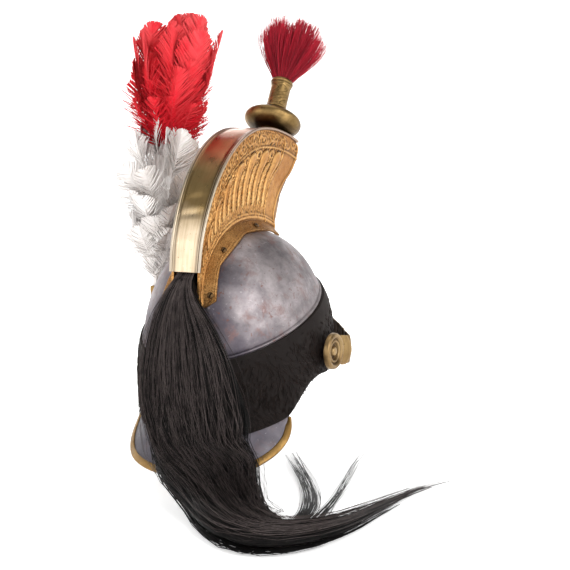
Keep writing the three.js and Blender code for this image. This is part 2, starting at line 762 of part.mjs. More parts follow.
function makeMane() {
  const locks = range(mane.locks).map((lock) => {
    const spread = lerp(-0.8, 0.8, lock / (mane.locks - 1));
    const layer = lock % 2 === 0 ? 0.3 : -0.25;
    const end = lerp(1, 0.84, Math.abs(spread));
    const points = evenSteps(0, end, mane.steps).map((share) => {
      const { point, side, out } = maneFrame(share);
      const wide = tableAt(maneTable, 'share', 'wide', share);
      const deep = tableAt(maneTable, 'share', 'deep', share);
      const drift = 0.07 * Math.sin(share * 9 + lock * 1.7) * clamp(share * 5, 0, 1);
      const offset = (spread + drift) * wide;
      const drape = tableAt(maneTable, 'share', 'drape', share);
      const fall = drape * (backDepth(point.x + offset * side.x) - backDepth(point.x));
      return point.addScaledVector(side, offset).addScaledVector(out, layer * deep).add(vec(0, fall, 0));
    });
    const curve = new THREE.CatmullRomCurve3(points);
    const size = (share) => {
      const wide = tableAt(maneTable, 'share', 'wide', share * end);
      const deep = tableAt(maneTable, 'share', 'deep', share * end);
      const taper = share < 0.8 ? 1 : lerp(1, 0.3, (share - 0.8) / 0.2);
      return [Math.max(wide * 0.33 * taper, 0.8), Math.max(deep * 0.72 * taper, 0.7)];
    };
    const across = (share) => maneFrame(share * end).side;
    return strand(curve, { steps: mane.steps, sides: mane.sides, across, size });
  });
  const strays = sideLocks.map((route) => {
    const curve = new THREE.CatmullRomCurve3(route.map(([x, y, z]) => vec(x, y, z)));
    const size = (share) => [lerp(7, 0.9, share), lerp(2.6, 0.9, share)];
    return strand(curve, { steps: 6, sides: 4, across: () => vec(1, 0, 0), size });
  });
  const head = new THREE.BoxGeometry(22, 6, 7);
  head.translate(0, maneRoute[0].y, maneRoute[0].z - 2);
  const geometry = closedBodyOf(head);
  return fromManifold(fused([geometry, ...locks, ...strays]));
}

// Closed body of one of the library's own geometries.
function closedBodyOf(geometry) {
  const spot = geometry.getAttribute('position');
  const points = range(spot.count).map((item) => new THREE.Vector3().fromBufferAttribute(spot, item));
  const index = Array.from(geometry.getIndex().array);
  return closedBody(points, range(index.length / 3).map((face) => index.slice(face * 3, face * 3 + 3)));
}

// Plume

const plumeFoot = vec(socket.x, socket.y, socket.bottomZ + socket.height + clear);
const plumeTop = vec(plume.topX, plume.topY, plume.topZ);

function onPlume(z) {
  const share = (z - plumeFoot.z) / (plumeTop.z - plumeFoot.z);
  return plumeFoot.clone().lerp(plumeTop, share);
}

// Rings of feathers: height on the stem, number, first direction, reach, rise, half width, lopsided reach.
const redRings = [
  { z: 284, count: 6, startDeg: 28, reach: 46, rise: 74, width: 27, fuller: 0.06 },
  { z: 300, count: 4, startDeg: 73, reach: 30, rise: 102, width: 25, fuller: 0 },
  { z: 320, count: 1, startDeg: 208, reach: 8, rise: 91, width: 22, fuller: 0 },
];
const whiteRings = [
  { z: 126, count: 3, startDeg: 28, reach: 24, rise: 52, width: 17, fuller: 0.2 },
  { z: 156, count: 3, startDeg: 68, reach: 36, rise: 66, width: 25, fuller: 0.25 },
  { z: 202, count: 4, startDeg: 28, reach: 38, rise: 58, width: 25, fuller: 0.25 },
];

// Shape of a feather from root to tip: shares of its reach, rise and half width.
const featherBend = [
  { out: 0, up: 0, wide: 0.3 },
  { out: 0.8, up: 0.28, wide: 0.95 },
  { out: 1, up: 0.76, wide: 0.98 },
  { out: 1.15, up: 1, wide: 0.5 },
];

// One feather: a thin blade that leaves the stem, widens and curls over at its tip.
function makeFeather({ z, reach, rise, width, fuller }, deg) {
  const turn = radians(deg);
  const far = reach * (1 + fuller * Math.cos(radians(deg - plume.fullDeg)));
  const away = vec(Math.cos(turn), Math.sin(turn), 0);
  const root = onPlume(z);
  const lean = onPlume(z + rise).sub(root);
  const points = featherBend.map(({ out, up }) => {
    return root.clone().addScaledVector(lean, up).addScaledVector(away, far * out);
  });
  const steps = featherBend.length - 1;
  const across = () => vec(-Math.sin(turn), Math.cos(turn), 0);
  const size = (share) => {
    const { wide } = featherBend[Math.round(share * steps)];
    return [wide * width * Math.SQRT2, plume.bladeDepth];
  };
  return strand(new THREE.CatmullRomCurve3(points), { steps, sides: 4, across, size });
}

// Full middle of the plume between two heights.
function makeCore(fromZ, toZ) {
  const rows = plumeCore.filter(({ z }) => z >= fromZ && z <= toZ);
  return loft(rows.map(({ z, radius }) => range(plume.sides).map((corner) => {
    const turn = (corner / plume.sides) * 2 * Math.PI;
    return onPlume(z).add(vec(radius * Math.cos(turn), radius * Math.sin(turn), 0));
  })));
}

function makePlume(rings, fromZ, toZ) {
  const feathers = rings.flatMap((ring) => range(ring.count).map((item) => {
    return makeFeather(ring, ring.startDeg + (item / ring.count) * 360);
  }));
  return fromManifold(fused([makeCore(fromZ, toZ), ...feathers]));
}

function makeSocket() {
  const { radius, height, bottomZ, x, y } = socket;
  const profile = [
    [0, 0], [radius * 0.8, 0], [radius, 3], [radius, height * 0.5], [radius + 1.6, height * 0.56],
    [radius, height * 0.62], [radius, height - 3], [radius + 1.4, height], [0, height],
  ];
  const body = turned(profile, 12);
  body.translate(x, y, bottomZ);
  return body;
}

// Assembly

const helmet = new THREE.Group();

function addPiece(name, geometry, look, mirrored = false) {
  const shape = geometry.clone();
  if (mirrored) {
    const index = shape.getIndex().array;
    const swapped = range(index.length / 3).flatMap((face) => {
      const [a, b, c] = index.slice(face * 3, face * 3 + 3);
      return [a, c, b];
    });
    shape.scale(-1, 1, 1);
    shape.setIndex(swapped);
  }
  const mesh = new THREE.Mesh(shape, new THREE.MeshStandardMaterial(look));
  mesh.name = name;
  helmet.add(mesh);
  return mesh;
}

addPiece('skull', makeSkull(), finish.steel);
addPiece('turban', makeTurban(), finish.fur);

const neckPeak = makePeak(neckGuard);
addPiece('neck_guard', neckPeak.plate, finish.steel);
addPiece('neck_guard_trim', neckPeak.trim, finish.smoothBrass);

const frontPeak = makePeak(visor);
addPiece('visor', frontPeak.plate, finish.steel);
addPiece('visor_trim', frontPeak.trim, finish.smoothBrass);

const crestSide = makeCrestSide();
addPiece('crest_side_left', crestSide, finish.embossedBrass);
addPiece('crest_side_right', crestSide, finish.embossedBrass, true);
addPiece('crest_band', makeBand(), finish.smoothBrass);
addPiece('crest_front', makeFrontStrip(), finish.smoothBrass);

const screwShape = makeScrew();
screwShares.forEach((share, item) => {
  const { point, normal } = screwFrame(share);
  [['left', 1], ['right', -1]].forEach(([side, sign]) => {
    const mesh = addPiece(`crest_screw_${side}_${item + 1}`, screwShape, finish.darkBronze);
    mesh.position.set(point.x * sign, point.y, point.z);
    mesh.quaternion.setFromUnitVectors(vec(0, 0, 1), vec(normal.x * sign, normal.y, normal.z));
  });
});

addPiece('finial_knob', makeKnob(), finish.darkBronze);
addPiece('finial_tube', makeTube(), finish.darkBronze);
addPiece('finial_tuft', makeTuft(), finish.crimson);

const bossShape = makeBoss();
[['left', 1], ['right', -1]].forEach(([side, sign]) => {
  const mesh = addPiece(`boss_${side}`, bossShape, finish.smoothBrass);
  mesh.position.set(boss.x * sign, boss.y, boss.z);
  mesh.rotation.y = (sign * Math.PI) / 2;
});

const chinScales = makeScales();
addPiece('chin_scales_left', chinScales, finish.smoothBrass);
addPiece('chin_scales_right', chinScales, finish.smoothBrass, true);

addPiece('mane', makeMane(), finish.hair);
addPiece('plume_socket', makeSocket(), finish.smoothBrass);
addPiece('plume_white', makePlume(whiteRings, plumeFoot.z, plume.changeZ - clear), finish.whiteFeather);
addPiece('plume_red', makePlume(redRings, plume.changeZ, plume.topZ), finish.redFeather);

export default helmet;
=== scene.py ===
import math

import bpy
import numpy as np
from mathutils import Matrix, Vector


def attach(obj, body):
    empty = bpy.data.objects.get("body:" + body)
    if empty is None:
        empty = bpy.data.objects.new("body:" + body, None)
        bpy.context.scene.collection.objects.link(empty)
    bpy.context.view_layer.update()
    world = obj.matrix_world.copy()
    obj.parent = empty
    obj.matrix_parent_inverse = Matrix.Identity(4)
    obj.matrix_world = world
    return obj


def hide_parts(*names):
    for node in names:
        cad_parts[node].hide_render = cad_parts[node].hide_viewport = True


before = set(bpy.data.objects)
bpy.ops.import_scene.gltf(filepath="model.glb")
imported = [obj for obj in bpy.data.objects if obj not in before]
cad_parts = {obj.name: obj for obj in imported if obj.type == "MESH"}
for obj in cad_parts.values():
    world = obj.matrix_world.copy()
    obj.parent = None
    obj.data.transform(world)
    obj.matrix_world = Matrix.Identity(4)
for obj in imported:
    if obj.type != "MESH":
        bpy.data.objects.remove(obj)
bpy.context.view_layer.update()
chance = np.random.default_rng(1811)
mm = 0.001
tau = 2 * math.pi
bothSides = {"Left": 1, "Right": -1}


# Shape helpers: arrays of points in metres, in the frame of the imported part

def unit(vectors):
    length = np.linalg.norm(vectors, axis=-1, keepdims=True)
    return vectors / np.maximum(length, 1e-12)


def smoothStep(low, high, value):
    share = np.clip((value - low) / (high - low), 0, 1)
    return share * share * (3 - 2 * share)


def hump(value, centre, width):
    return np.exp(-((value - centre) / width) ** 2)


# Smooth curve through a few points, returned as a function of the share of its length
def curveThrough(points, perSpan=40):
    pts = np.array(points, float)
    padded = np.vstack([2 * pts[0] - pts[1], pts, 2 * pts[-1] - pts[-2]])
    samples = []
    for k in range(1, len(padded) - 2):
        p0, p1, p2, p3 = padded[k - 1:k + 3]
        d0, d1, d2 = [max(np.linalg.norm(b - a) ** 0.5, 1e-6) for a, b in ((p0, p1), (p1, p2), (p2, p3))]
        t1 = ((p1 - p0) / d0 - (p2 - p0) / (d0 + d1) + (p2 - p1) / d1) * d1
        t2 = ((p2 - p1) / d1 - (p3 - p1) / (d1 + d2) + (p3 - p2) / d2) * d1
        t = np.linspace(0, 1, perSpan, endpoint=False)[:, None]
        cubic = 2 * p1 - 2 * p2 + t1 + t2
        square = -3 * p1 + 3 * p2 - 2 * t1 - t2
        samples.append(p1 + t1 * t + square * t ** 2 + cubic * t ** 3)
    line = np.vstack(samples + [pts[-1:]])
    run = np.concatenate([[0], np.cumsum(np.linalg.norm(np.diff(line, axis=0), axis=1))])
    run /= run[-1]
    return lambda share: np.stack([np.interp(share, run, line[:, axis]) for axis in range(3)], -1)


def gridFaces(rows, columns, ringRows=False, ringColumns=False, start=0):
    r = np.arange(rows if ringRows else rows - 1)
    c = np.arange(columns if ringColumns else columns - 1)
    r, c = np.meshgrid(r, c, indexing="ij")
    down, right = (r + 1) % rows, (c + 1) % columns
    quads = np.stack([r * columns + c, r * columns + right, down * columns + right, down * columns + c], -1)
    return (quads.reshape(-1, 4) + start).tolist()


# Plain mesh object at the origin. Faces are turned outwards by the sign of the volume.
def meshObject(name, points, faces, finish, smoothAngle=40, attributes=None):
    mesh = bpy.data.meshes.new(name)
    mesh.from_pydata(np.asarray(points, float).reshape(-1, 3).tolist(), [], faces)
    mesh.validate()
    mesh.update()
    triangles = np.zeros(len(mesh.loop_triangles) * 3, np.int32)
    mesh.loop_triangles.foreach_get("vertices", triangles)
    spots = np.zeros(len(mesh.vertices) * 3)
    mesh.vertices.foreach_get("co", spots)
    a, b, c = spots.reshape(-1, 3)[triangles.reshape(-1, 3)].transpose(1, 0, 2)
    if np.einsum("ij,ij->i", a, np.cross(b, c)).sum() < 0:
        mesh.flip_normals()
    for label, values in (attributes or {}).items():
        layer = mesh.attributes.new(label, "FLOAT", "POINT")
        layer.data.foreach_set("value", np.asarray(values, np.float32).ravel())
    mesh.shade_smooth()
    mesh.set_sharp_from_angle(angle=math.radians(smoothAngle))
    mesh.materials.append(finish)
    made = bpy.data.objects.new(name, mesh)
    bpy.context.scene.collection.objects.link(made)
    return made


def putOn(piece, slotName, *nodes):
    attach(piece, "root")
    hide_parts(*nodes)
    piece.data.calc_loop_triangles()
    print(f"  {piece.name}: {len(piece.data.loop_triangles)} triangles")


# Closed body through equal loops of points; ends get a fan, or loops join into a ring
def loftFaces(loopCount, size, ring=False):
    faces = gridFaces(loopCount, size, ringRows=ring, ringColumns=True)
    if not ring:
        faces.append(list(range(size))[::-1])
        faces.append([(loopCount - 1) * size + k for k in range(size)])
    return faces


# Plate with a fine outer skin and a coarse inner skin: outer[row, column], inner[row, column], same rows
def plateArrays(outer, inner):
    rows, columns = outer.shape[:2]
    innerColumns = inner.shape[1]
    size = columns + innerColumns
    points = np.concatenate([outer, inner[:, ::-1]], 1)
    faces = gridFaces(rows, size, ringColumns=True)
    cap, i, j = [], 0, 0
    while i < columns - 1 or j < innerColumns - 1:
        if (i + 1) / (columns - 1) <= (j + 1) / (innerColumns - 1):
            cap.append((i, i + 1, size - 1 - j))
            i += 1
        else:
            cap.append((i, size - 2 - j, size - 1 - j))
            j += 1
    last = (rows - 1) * size
    for a, b, c in cap:
        faces.append([c, b, a])
        faces.append([last + a, last + b, last + c])
    return points.reshape(-1, 3), faces


def gridNormals(grid):
    return unit(np.cross(np.gradient(grid, axis=0), np.gradient(grid, axis=1)))


# Body turned about an axis: rows of (radius, height), with an optional relief of the wall
def turnedArrays(profile, sides, origin, axis, relief=None):
    axis = unit(np.array(axis, float))
    across = unit(np.cross(axis, [0, 1, 0.01]))
    other = np.cross(axis, across)
    radius, height = np.array(profile, float).T
    angle = np.linspace(0, tau, sides, endpoint=False)
    wall = radius[:, None] + np.zeros(sides)
    if relief is not None:
        wall = wall + relief(height[:, None], angle[None, :]) * (radius[:, None] > 0)
    ring = np.cos(angle)[:, None] * across + np.sin(angle)[:, None] * other
    points = np.array(origin) + wall[..., None] * ring[None] + height[:, None, None] * axis
    return points.reshape(-1, 3), loftFaces(len(profile), sides)


# Rounds the corners of an open profile by cutting them several times
def softProfile(profile, rounds=3):
    line = np.array(profile, float)
    for _ in range(rounds):
        quarter = 0.75 * line[:-1] + 0.25 * line[1:]
        threeQuarter = 0.25 * line[:-1] + 0.75 * line[1:]
        inner = np.stack([quarter, threeQuarter], 1).reshape(-1, 2)
        line = np.vstack([line[:1], inner, line[-1:]])
    return line


# Node helpers

def addNode(tree, kind, inputs=None, **settings):
    made = tree.nodes.new(kind)
    for name, value in settings.items():
        setattr(made, name, value)
    for key, value in (inputs or {}).items():
        if isinstance(value, bpy.types.NodeSocket):
            tree.links.new(value, made.inputs[key])
        else:
            made.inputs[key].default_value = value
    return made


class Finish:
    def __init__(self, name, **values):
        self.material = bpy.data.materials.new(name)
        self.material.use_nodes = True
        self.tree = self.material.node_tree
        self.tree.nodes.clear()
        output = addNode(self.tree, "ShaderNodeOutputMaterial")
        self.shader = addNode(self.tree, "ShaderNodeBsdfPrincipled", inputs=values)
        self.tree.links.new(self.shader.outputs[0], output.inputs[0])
        self.place = addNode(self.tree, "ShaderNodeTexCoord").outputs["Object"]

    def to(self, socketName, value):
        self.tree.links.new(value, self.shader.inputs[socketName])

    def stretched(self, scale, turn=(0, 0, 0)):
        inputs = {"Vector": self.place, "Scale": scale, "Rotation": turn}
        return addNode(self.tree, "ShaderNodeMapping", inputs).outputs[0]

    def noise(self, scale, detail=4, rough=0.5, warp=0, place=None):
        inputs = {"Vector": place or self.place, "Scale": scale, "Detail": detail, "Roughness": rough}
        inputs["Distortion"] = warp
        return addNode(self.tree, "ShaderNodeTexNoise", inputs).outputs[0]

    def cells(self, scale):
        inputs = {"Vector": self.place, "Scale": scale}
        return addNode(self.tree, "ShaderNodeTexVoronoi", inputs).outputs["Distance"]

    def attribute(self, name):
        return addNode(self.tree, "ShaderNodeAttribute", attribute_name=name).outputs["Fac"]

    def axis(self, letter):
        return addNode(self.tree, "ShaderNodeSeparateXYZ", {0: self.place}).outputs[letter]

    def math(self, operation, first, second=0.0):
        return addNode(self.tree, "ShaderNodeMath", {0: first, 1: second}, operation=operation).outputs[0]

    def span(self, value, low, high, newLow=0.0, newHigh=1.0):
        inputs = {0: value, 1: low, 2: high, 3: newLow, 4: newHigh}
        return addNode(self.tree, "ShaderNodeMapRange", inputs).outputs[0]

    def blend(self, share, first, second):
        inputs = {0: share, 6: first, 7: second}
        return addNode(self.tree, "ShaderNodeMix", inputs, data_type="RGBA").outputs[2]

    def bump(self, height, strength, distance, under=None):
        inputs = {"Height": height, "Strength": strength, "Distance": distance}
        if under is not None:
            inputs["Normal"] = under
        return addNode(self.tree, "ShaderNodeBump", inputs).outputs[0]


# Screen colour as the linear colour of a shader socket
def rgb(red, green, blue):
    linear = [((c / 255 + 0.055) / 1.055) ** 2.4 if c > 10 else c / 255 / 12.92 for c in (red, green, blue)]
    return (*linear, 1)


# Finishes

def makeSteel():
    f = Finish("wornSteel", Metallic=1.0)
    cloud = f.noise(34, 7, 0.66, warp=0.25)
    tone = f.blend(f.span(cloud, 0.34, 0.68), rgb(108, 102, 105), rgb(165, 157, 158))
    # Darker near the middle line, widest low down: painted reflection of the dark mane and fur
    side = f.math("ADD", f.math("ABSOLUTE", f.axis("X")), f.span(f.axis("Z"), 0.05, 0.18, -0.045, 0.03))
    drift = f.span(f.noise(26, 3), 0.3, 0.7, -0.016, 0.016)
    maneReflection = f.span(f.math("ADD", side, drift), 0.02, 0.05, 1.0, 0.0)
    tone = f.blend(f.math("MULTIPLY", maneReflection, 0.7), tone, rgb(61, 56, 69))
    stain = f.span(f.noise(58, 6, 0.66, warp=0.5), 0.53, 0.68)
    tone = f.blend(f.math("MULTIPLY", stain, 0.75), tone, rgb(126, 98, 94))
    rust = f.span(f.noise(150, 4, 0.6, warp=1.0), 0.62, 0.7)
    tone = f.blend(f.math("MULTIPLY", rust, 0.7), tone, rgb(112, 74, 64))
    tone = f.blend(f.span(f.axis("Z"), -0.028, 0.0, 0.7, 0.0), tone, rgb(74, 72, 78))
    pits = f.span(f.noise(620, 2, 0.5), 0.67, 0.74)
    tone = f.blend(f.math("MULTIPLY", pits, 0.55), tone, rgb(72, 62, 66))
    hairline = [f.noise(1.0, 3, 0.6, 0.4, f.stretched(scale, turn)) for scale, turn in (
        ((240, 9, 240), (0.2, 0.5, 0.4)), ((9, 260, 200), (0.9, 0.1, 1.2)), ((200, 200, 7), (0.3, 0.8, 0.2)))]
    lines = f.math("MAXIMUM", f.math("MAXIMUM", hairline[0], hairline[1]), hairline[2])
    scratch = f.span(lines, 0.685, 0.72)
    tone = f.blend(f.math("MULTIPLY", scratch, 0.22), tone, rgb(205, 198, 200))
    f.to("Base Color", tone)
    f.to("Roughness", f.span(f.noise(60, 5, 0.6), 0.3, 0.72, 0.4, 0.6))
    fine = f.bump(f.noise(380, 4, 0.6), 0.14, 0.0006)
    f.to("Normal", f.bump(f.noise(34, 3), 0.3, 0.0022, fine))
    return f.material


def makeBrass(name, dark, light, stainColour, roughLow, roughHigh, grain=0.12, hollowColour=None):
    f = Finish(name, Metallic=1.0)
    tone = f.blend(f.span(f.noise(38, 5, 0.55, 0.5), 0.32, 0.7), dark, light)
    stain = f.span(f.noise(120, 5, 0.65, 0.8), 0.56, 0.7)
    tone = f.blend(f.math("MULTIPLY", stain, 0.65), tone, stainColour)
    speck = f.span(f.noise(700, 2), 0.66, 0.72)
    tone = f.blend(f.math("MULTIPLY", speck, 0.5), tone, stainColour)
    if hollowColour is not None:
        tone = f.blend(f.attribute("hollow"), tone, hollowColour)
    f.to("Base Color", tone)
    f.to("Roughness", f.span(f.noise(85, 5, 0.6), 0.3, 0.7, roughLow, roughHigh))
    f.to("Normal", f.bump(f.noise(420, 4, 0.6), grain, 0.0006))
    return f.material


def makeBandBrass():
    f = Finish("bandBrass", Metallic=1.0)
    # Paler towards the low back end of the band: painted highlight; darker brass and copper-brown higher up
    height = f.axis("Z")
    drift = f.span(f.noise(24, 4), 0.3, 0.7, -0.012, 0.012)
    level = f.math("ADD", height, drift)
    tone = f.blend(f.span(level, 0.165, 0.2), rgb(200, 182, 156), rgb(150, 126, 84))
    tone = f.blend(f.span(level, 0.228, 0.25), tone, rgb(150, 98, 68))
    brushed = f.noise(1.0, 4, 0.6, 0, f.stretched((620, 26, 26)))
    tone = f.blend(f.span(brushed, 0.4, 0.75, 0.0, 0.35), tone, rgb(122, 92, 48))
    speck = f.span(f.noise(300, 3, 0.6), 0.64, 0.72, 0.0, 0.5)
    tone = f.blend(speck, tone, rgb(112, 82, 46))
    tone = f.blend(f.attribute("silver"), tone, rgb(168, 162, 152))
    tone = f.blend(f.attribute("hollow"), tone, rgb(52, 38, 24))
    f.to("Base Color", tone)
    f.to("Roughness", f.span(f.noise(70, 4), 0.3, 0.7, 0.24, 0.42))
    f.to("Normal", f.bump(f.noise(46, 3), 0.25, 0.0012, f.bump(brushed, 0.06, 0.0004)))
    return f.material


def makeEmbossed():
    f = Finish("embossedBrass", Metallic=1.0)
    tone = f.blend(f.span(f.noise(30, 5, 0.6, 0.4), 0.33, 0.68), rgb(168, 114, 60), rgb(204, 154, 94))
    tone = f.blend(f.span(f.noise(240, 4, 0.6), 0.5, 0.72, 0.0, 0.5), tone, rgb(126, 80, 42))
    tone = f.blend(f.attribute("hollow"), tone, rgb(52, 33, 18))
    tone = f.blend(f.attribute("worn"), tone, rgb(232, 194, 134))
    f.to("Base Color", tone)
    f.to("Roughness", f.span(f.noise(160, 4), 0.3, 0.7, 0.34, 0.54))
    pebble = f.bump(f.cells(780), 0.42, 0.0007)
    f.to("Normal", f.bump(f.noise(330, 3, 0.6), 0.25, 0.0008, pebble))
    return f.material


# Hair, fur and feather: colour from the strand's own shade
def makeStrandFinish(name, dark, light, odd, roughness, specular, sheen=0.0, sheenTint=(1, 1, 1, 1)):
    f = Finish(name, Roughness=roughness)
    f.shader.inputs["Specular IOR Level"].default_value = specular
    f.shader.inputs["Sheen Weight"].default_value = sheen
    f.shader.inputs["Sheen Tint"].default_value = sheenTint
    tone = f.blend(f.attribute("shade"), dark, light)
    tone = f.blend(f.span(f.noise(70, 3), 0.52, 0.72, 0.0, 0.6), tone, odd)
    f.to("Base Color", tone)
    f.to("Normal", f.bump(f.noise(900, 2), 0.1, 0.0003))
    return f.material


finishes = {
    "steel": makeSteel(),
    "band": makeBandBrass(),
    "embossed": makeEmbossed(),
    "trim": makeBrass("trimBrass", rgb(120, 92, 52), rgb(160, 128, 78), rgb(84, 60, 36), 0.3, 0.5),
    "boss": makeBrass("bossBrass", rgb(118, 95, 64), rgb(166, 140, 100), rgb(84, 62, 38), 0.3, 0.52,
                      hollowColour=rgb(58, 40, 26)),
    "scale": makeBrass("scaleBrass", rgb(122, 97, 60), rgb(164, 136, 90), rgb(86, 63, 38), 0.3, 0.5,
                       hollowColour=rgb(78, 54, 30)),
    "bronze": makeBrass("darkBronze", rgb(84, 65, 39), rgb(168, 138, 88), rgb(58, 44, 28), 0.3, 0.55, 0.3,
                        hollowColour=rgb(48, 38, 24)),
    "screw": makeBrass("screwBronze", rgb(72, 56, 40), rgb(120, 92, 58), rgb(40, 30, 22), 0.35, 0.6,
                       hollowColour=rgb(20, 16, 12)),
    "fur": makeStrandFinish("darkFur", rgb(7, 5, 5), rgb(54, 39, 33), rgb(24, 17, 14), 0.75, 0.18,
                            0.12, rgb(120, 100, 90)),
    "hair": makeStrandFinish("blackHair", rgb(4, 3, 3), rgb(98, 88, 86), rgb(12, 9, 8), 0.36, 0.13),
    "tuft": makeStrandFinish("crimsonBristle", rgb(96, 6, 22), rgb(206, 30, 54), rgb(164, 18, 40), 0.6, 0.3),
    "red": makeStrandFinish("redFeather", rgb(216, 0, 30), rgb(241, 86, 90), rgb(231, 16, 44), 0.8, 0.2,
                            0.2, rgb(255, 120, 110)),
    "white": makeStrandFinish("whiteFeather", rgb(230, 222, 217), rgb(253, 250, 248), rgb(240, 232, 227),
                              0.85, 0.2, 0.3, rgb(255, 250, 245)),
}
print("finishes made")


# Node trees: named inputs, then real instances with a finish

def startTree(name, inputs, outputName):
    tree = bpy.data.node_groups.new(name, "GeometryNodeTree")
    sockets = {}
    for label, kind in inputs.items():
        made = tree.interface.new_socket(label, in_out="INPUT", socket_type="NodeSocket" + kind)
        sockets[label] = made.identifier
    tree.interface.new_socket(outputName, in_out="OUTPUT", socket_type="NodeSocketGeometry")
    return tree, sockets, addNode(tree, "NodeGroupInput").outputs


def endTree(tree, geometry, finish):
    real = addNode(tree, "GeometryNodeRealizeInstances", {0: geometry}).outputs[0]
    dressed = addNode(tree, "GeometryNodeSetMaterial", {"Geometry": real, "Material": finish}).outputs[0]
    addNode(tree, "NodeGroupOutput", {0: dressed})


def readAttribute(tree, name, kind):
    return addNode(tree, "GeometryNodeInputNamedAttribute", {"Name": name}, data_type=kind).outputs[0]


# Result of a tree on a mesh as a plain mesh object; the source object goes away
def grown(name, mesh, tree, sockets, values):
    source = bpy.data.objects.new(mesh.name, mesh)
    bpy.context.scene.collection.objects.link(source)
    modifier = source.modifiers.new("tree", "NODES")
    modifier.node_group = tree
    for label, value in values.items():
        modifier[sockets[label]] = value
    depsgraph = bpy.context.evaluated_depsgraph_get()
    result = bpy.data.meshes.new_from_object(source.evaluated_get(depsgraph))
    result.name = name
    bpy.data.objects.remove(source)
    made = bpy.data.objects.new(name, result)
    bpy.context.scene.collection.objects.link(made)
    return made


# Strands: lines of points with a thickness and a facing become closed thin bodies
def makeStrandTree():
    inputs = {"Lines": "Geometry", "Sides": "Int", "Flatness": "Float", "Finish": "Material"}
    tree, sockets, given = startTree("strandsToBodies", inputs, "Bodies")
    lines = addNode(tree, "GeometryNodeMeshToCurve", {0: given["Lines"]}).outputs[0]
    facing = readAttribute(tree, "facing", "FLOAT_VECTOR")
    thick = readAttribute(tree, "thickness", "FLOAT")
    turned = addNode(tree, "GeometryNodeSetCurveNormal", {"Curve": lines}, mode="FREE")
    tree.links.new(facing, turned.inputs["Normal"])
    ring = addNode(tree, "GeometryNodeCurvePrimitiveCircle", {"Resolution": given["Sides"], "Radius": 1.0})
    flat = addNode(tree, "ShaderNodeCombineXYZ", {0: given["Flatness"], 1: 1.0, 2: 1.0}).outputs[0]
    inputs = {"Geometry": ring.outputs["Curve"], "Scale": flat}
    section = addNode(tree, "GeometryNodeTransform", inputs).outputs[0]
    inputs = {"Curve": turned.outputs[0], "Profile Curve": section, "Scale": thick, "Fill Caps": True}
    endTree(tree, addNode(tree, "GeometryNodeCurveToMesh", inputs).outputs[0], given["Finish"])
    return tree, sockets


strandTree, strandSockets = makeStrandTree()


# lines: (strand, point, xyz); thickness, shade: (strand, point); facing: (strand, point, xyz)
def strandObject(name, batches, finish, sides=3, flatness=1.0):
    points, edges, columns, start = [], [], {"thickness": [], "shade": [], "facing": []}, 0
    for batch in batches:
        count, length = batch["lines"].shape[:2]
        index = start + np.arange(count * length).reshape(count, length)
        edges.append(np.stack([index[:, :-1], index[:, 1:]], -1).reshape(-1, 2))
        points.append(batch["lines"].reshape(-1, 3))
        for key, parts in columns.items():
            full = np.broadcast_to(batch[key], (count, length, 3) if key == "facing" else (count, length))
            parts.append(full.reshape(count * length, -1))
        start += count * length
    mesh = bpy.data.meshes.new(name + "Lines")
    mesh.from_pydata(np.vstack(points).tolist(), np.vstack(edges).tolist(), [])
    for key, parts in columns.items():
        kind, field = ("FLOAT_VECTOR", "vector") if key == "facing" else ("FLOAT", "value")
        layer = mesh.attributes.new(key, kind, "POINT")
        layer.data.foreach_set(field, np.vstack(parts).astype(np.float32).ravel())
    values = {"Sides": sides, "Flatness": flatness, "Finish": finish}
    made = grown(name, mesh, strandTree, strandSockets, values)
    made.data.shade_smooth()
    return made


def joined(name, *parts):
    with bpy.context.temp_override(active_object=parts[0], selected_editable_objects=list(parts)):
        bpy.ops.object.join()
    parts[0].name = parts[0].data.name = name
    return parts[0]


# Skull: steel bowl with a raised bead where the fur begins

skull = {
    "halfWidth": 95 * mm, "halfLength": 114 * mm, "springZ": 40 * mm, "rise": 133 * mm, "power": 2.23,
    "wall": 1.6 * mm, "rimZ": 88.5 * mm, "rimSlope": 21.4, "beadHeight": 3.4 * mm, "beadProud": 1.4 * mm,
    "columns": 150, "domeRows": 46, "waviness": 0.28 * mm, "crownDeg": 89.6,
}
clear = 0.35 * mm
lowerEdge = {0: -32, 41: -28, 56: -21, 66: -15, 74: 2, 82: 16, 92: 21, 105: 20, 122: 30, 140: 43, 180: 55}
turnDegrees = np.arange(-200, 201)
edgeDegrees = np.minimum(np.abs(turnDegrees), 360 - np.abs(turnDegrees))
edgeHeights = np.interp(edgeDegrees, list(lowerEdge), np.array(list(lowerEdge.values())) * mm)
softWindow = np.hanning(13) / np.hanning(13).sum()
edgeHeights = np.convolve(np.pad(edgeHeights, 6, mode="edge"), softWindow, mode="valid")


def lowerHeight(deg):
    return np.interp((np.asarray(deg) + 180) % 360 - 180, turnDegrees, edgeHeights)


def skullPoint(deg, z, grow=0.0):
    deg, z, grow = np.broadcast_arrays(np.asarray(deg, float), z, grow)
    level = np.clip((z - skull["springZ"]) / (skull["rise"] + grow), 0, 1)
    spread = (1 - level ** skull["power"]) ** (1 / skull["power"])
    turn = np.radians(deg)
    x = (skull["halfWidth"] + grow) * spread * np.sin(turn)
    y = (skull["halfLength"] + grow) * spread * np.cos(turn)
    return np.stack([x, y, z], -1)


def rimHeight(deg):
    z = np.full(np.shape(deg), skull["rimZ"])
    for _ in range(40):
        z = skull["rimZ"] - skullPoint(deg, z)[..., 1] * math.tan(math.radians(skull["rimSlope"]))
    return z


def domePoint(deg, rise, grow):
    spread = np.cos(rise) ** (2 / skull["power"])
    turn = np.radians(deg)
    x = (skull["halfWidth"] + grow) * spread * np.sin(turn)
    y = (skull["halfLength"] + grow) * spread * np.cos(turn)
    z = skull["springZ"] + (skull["rise"] + grow) * np.sin(rise) ** (2 / skull["power"])
    return np.stack(np.broadcast_arrays(x, y, z), -1)


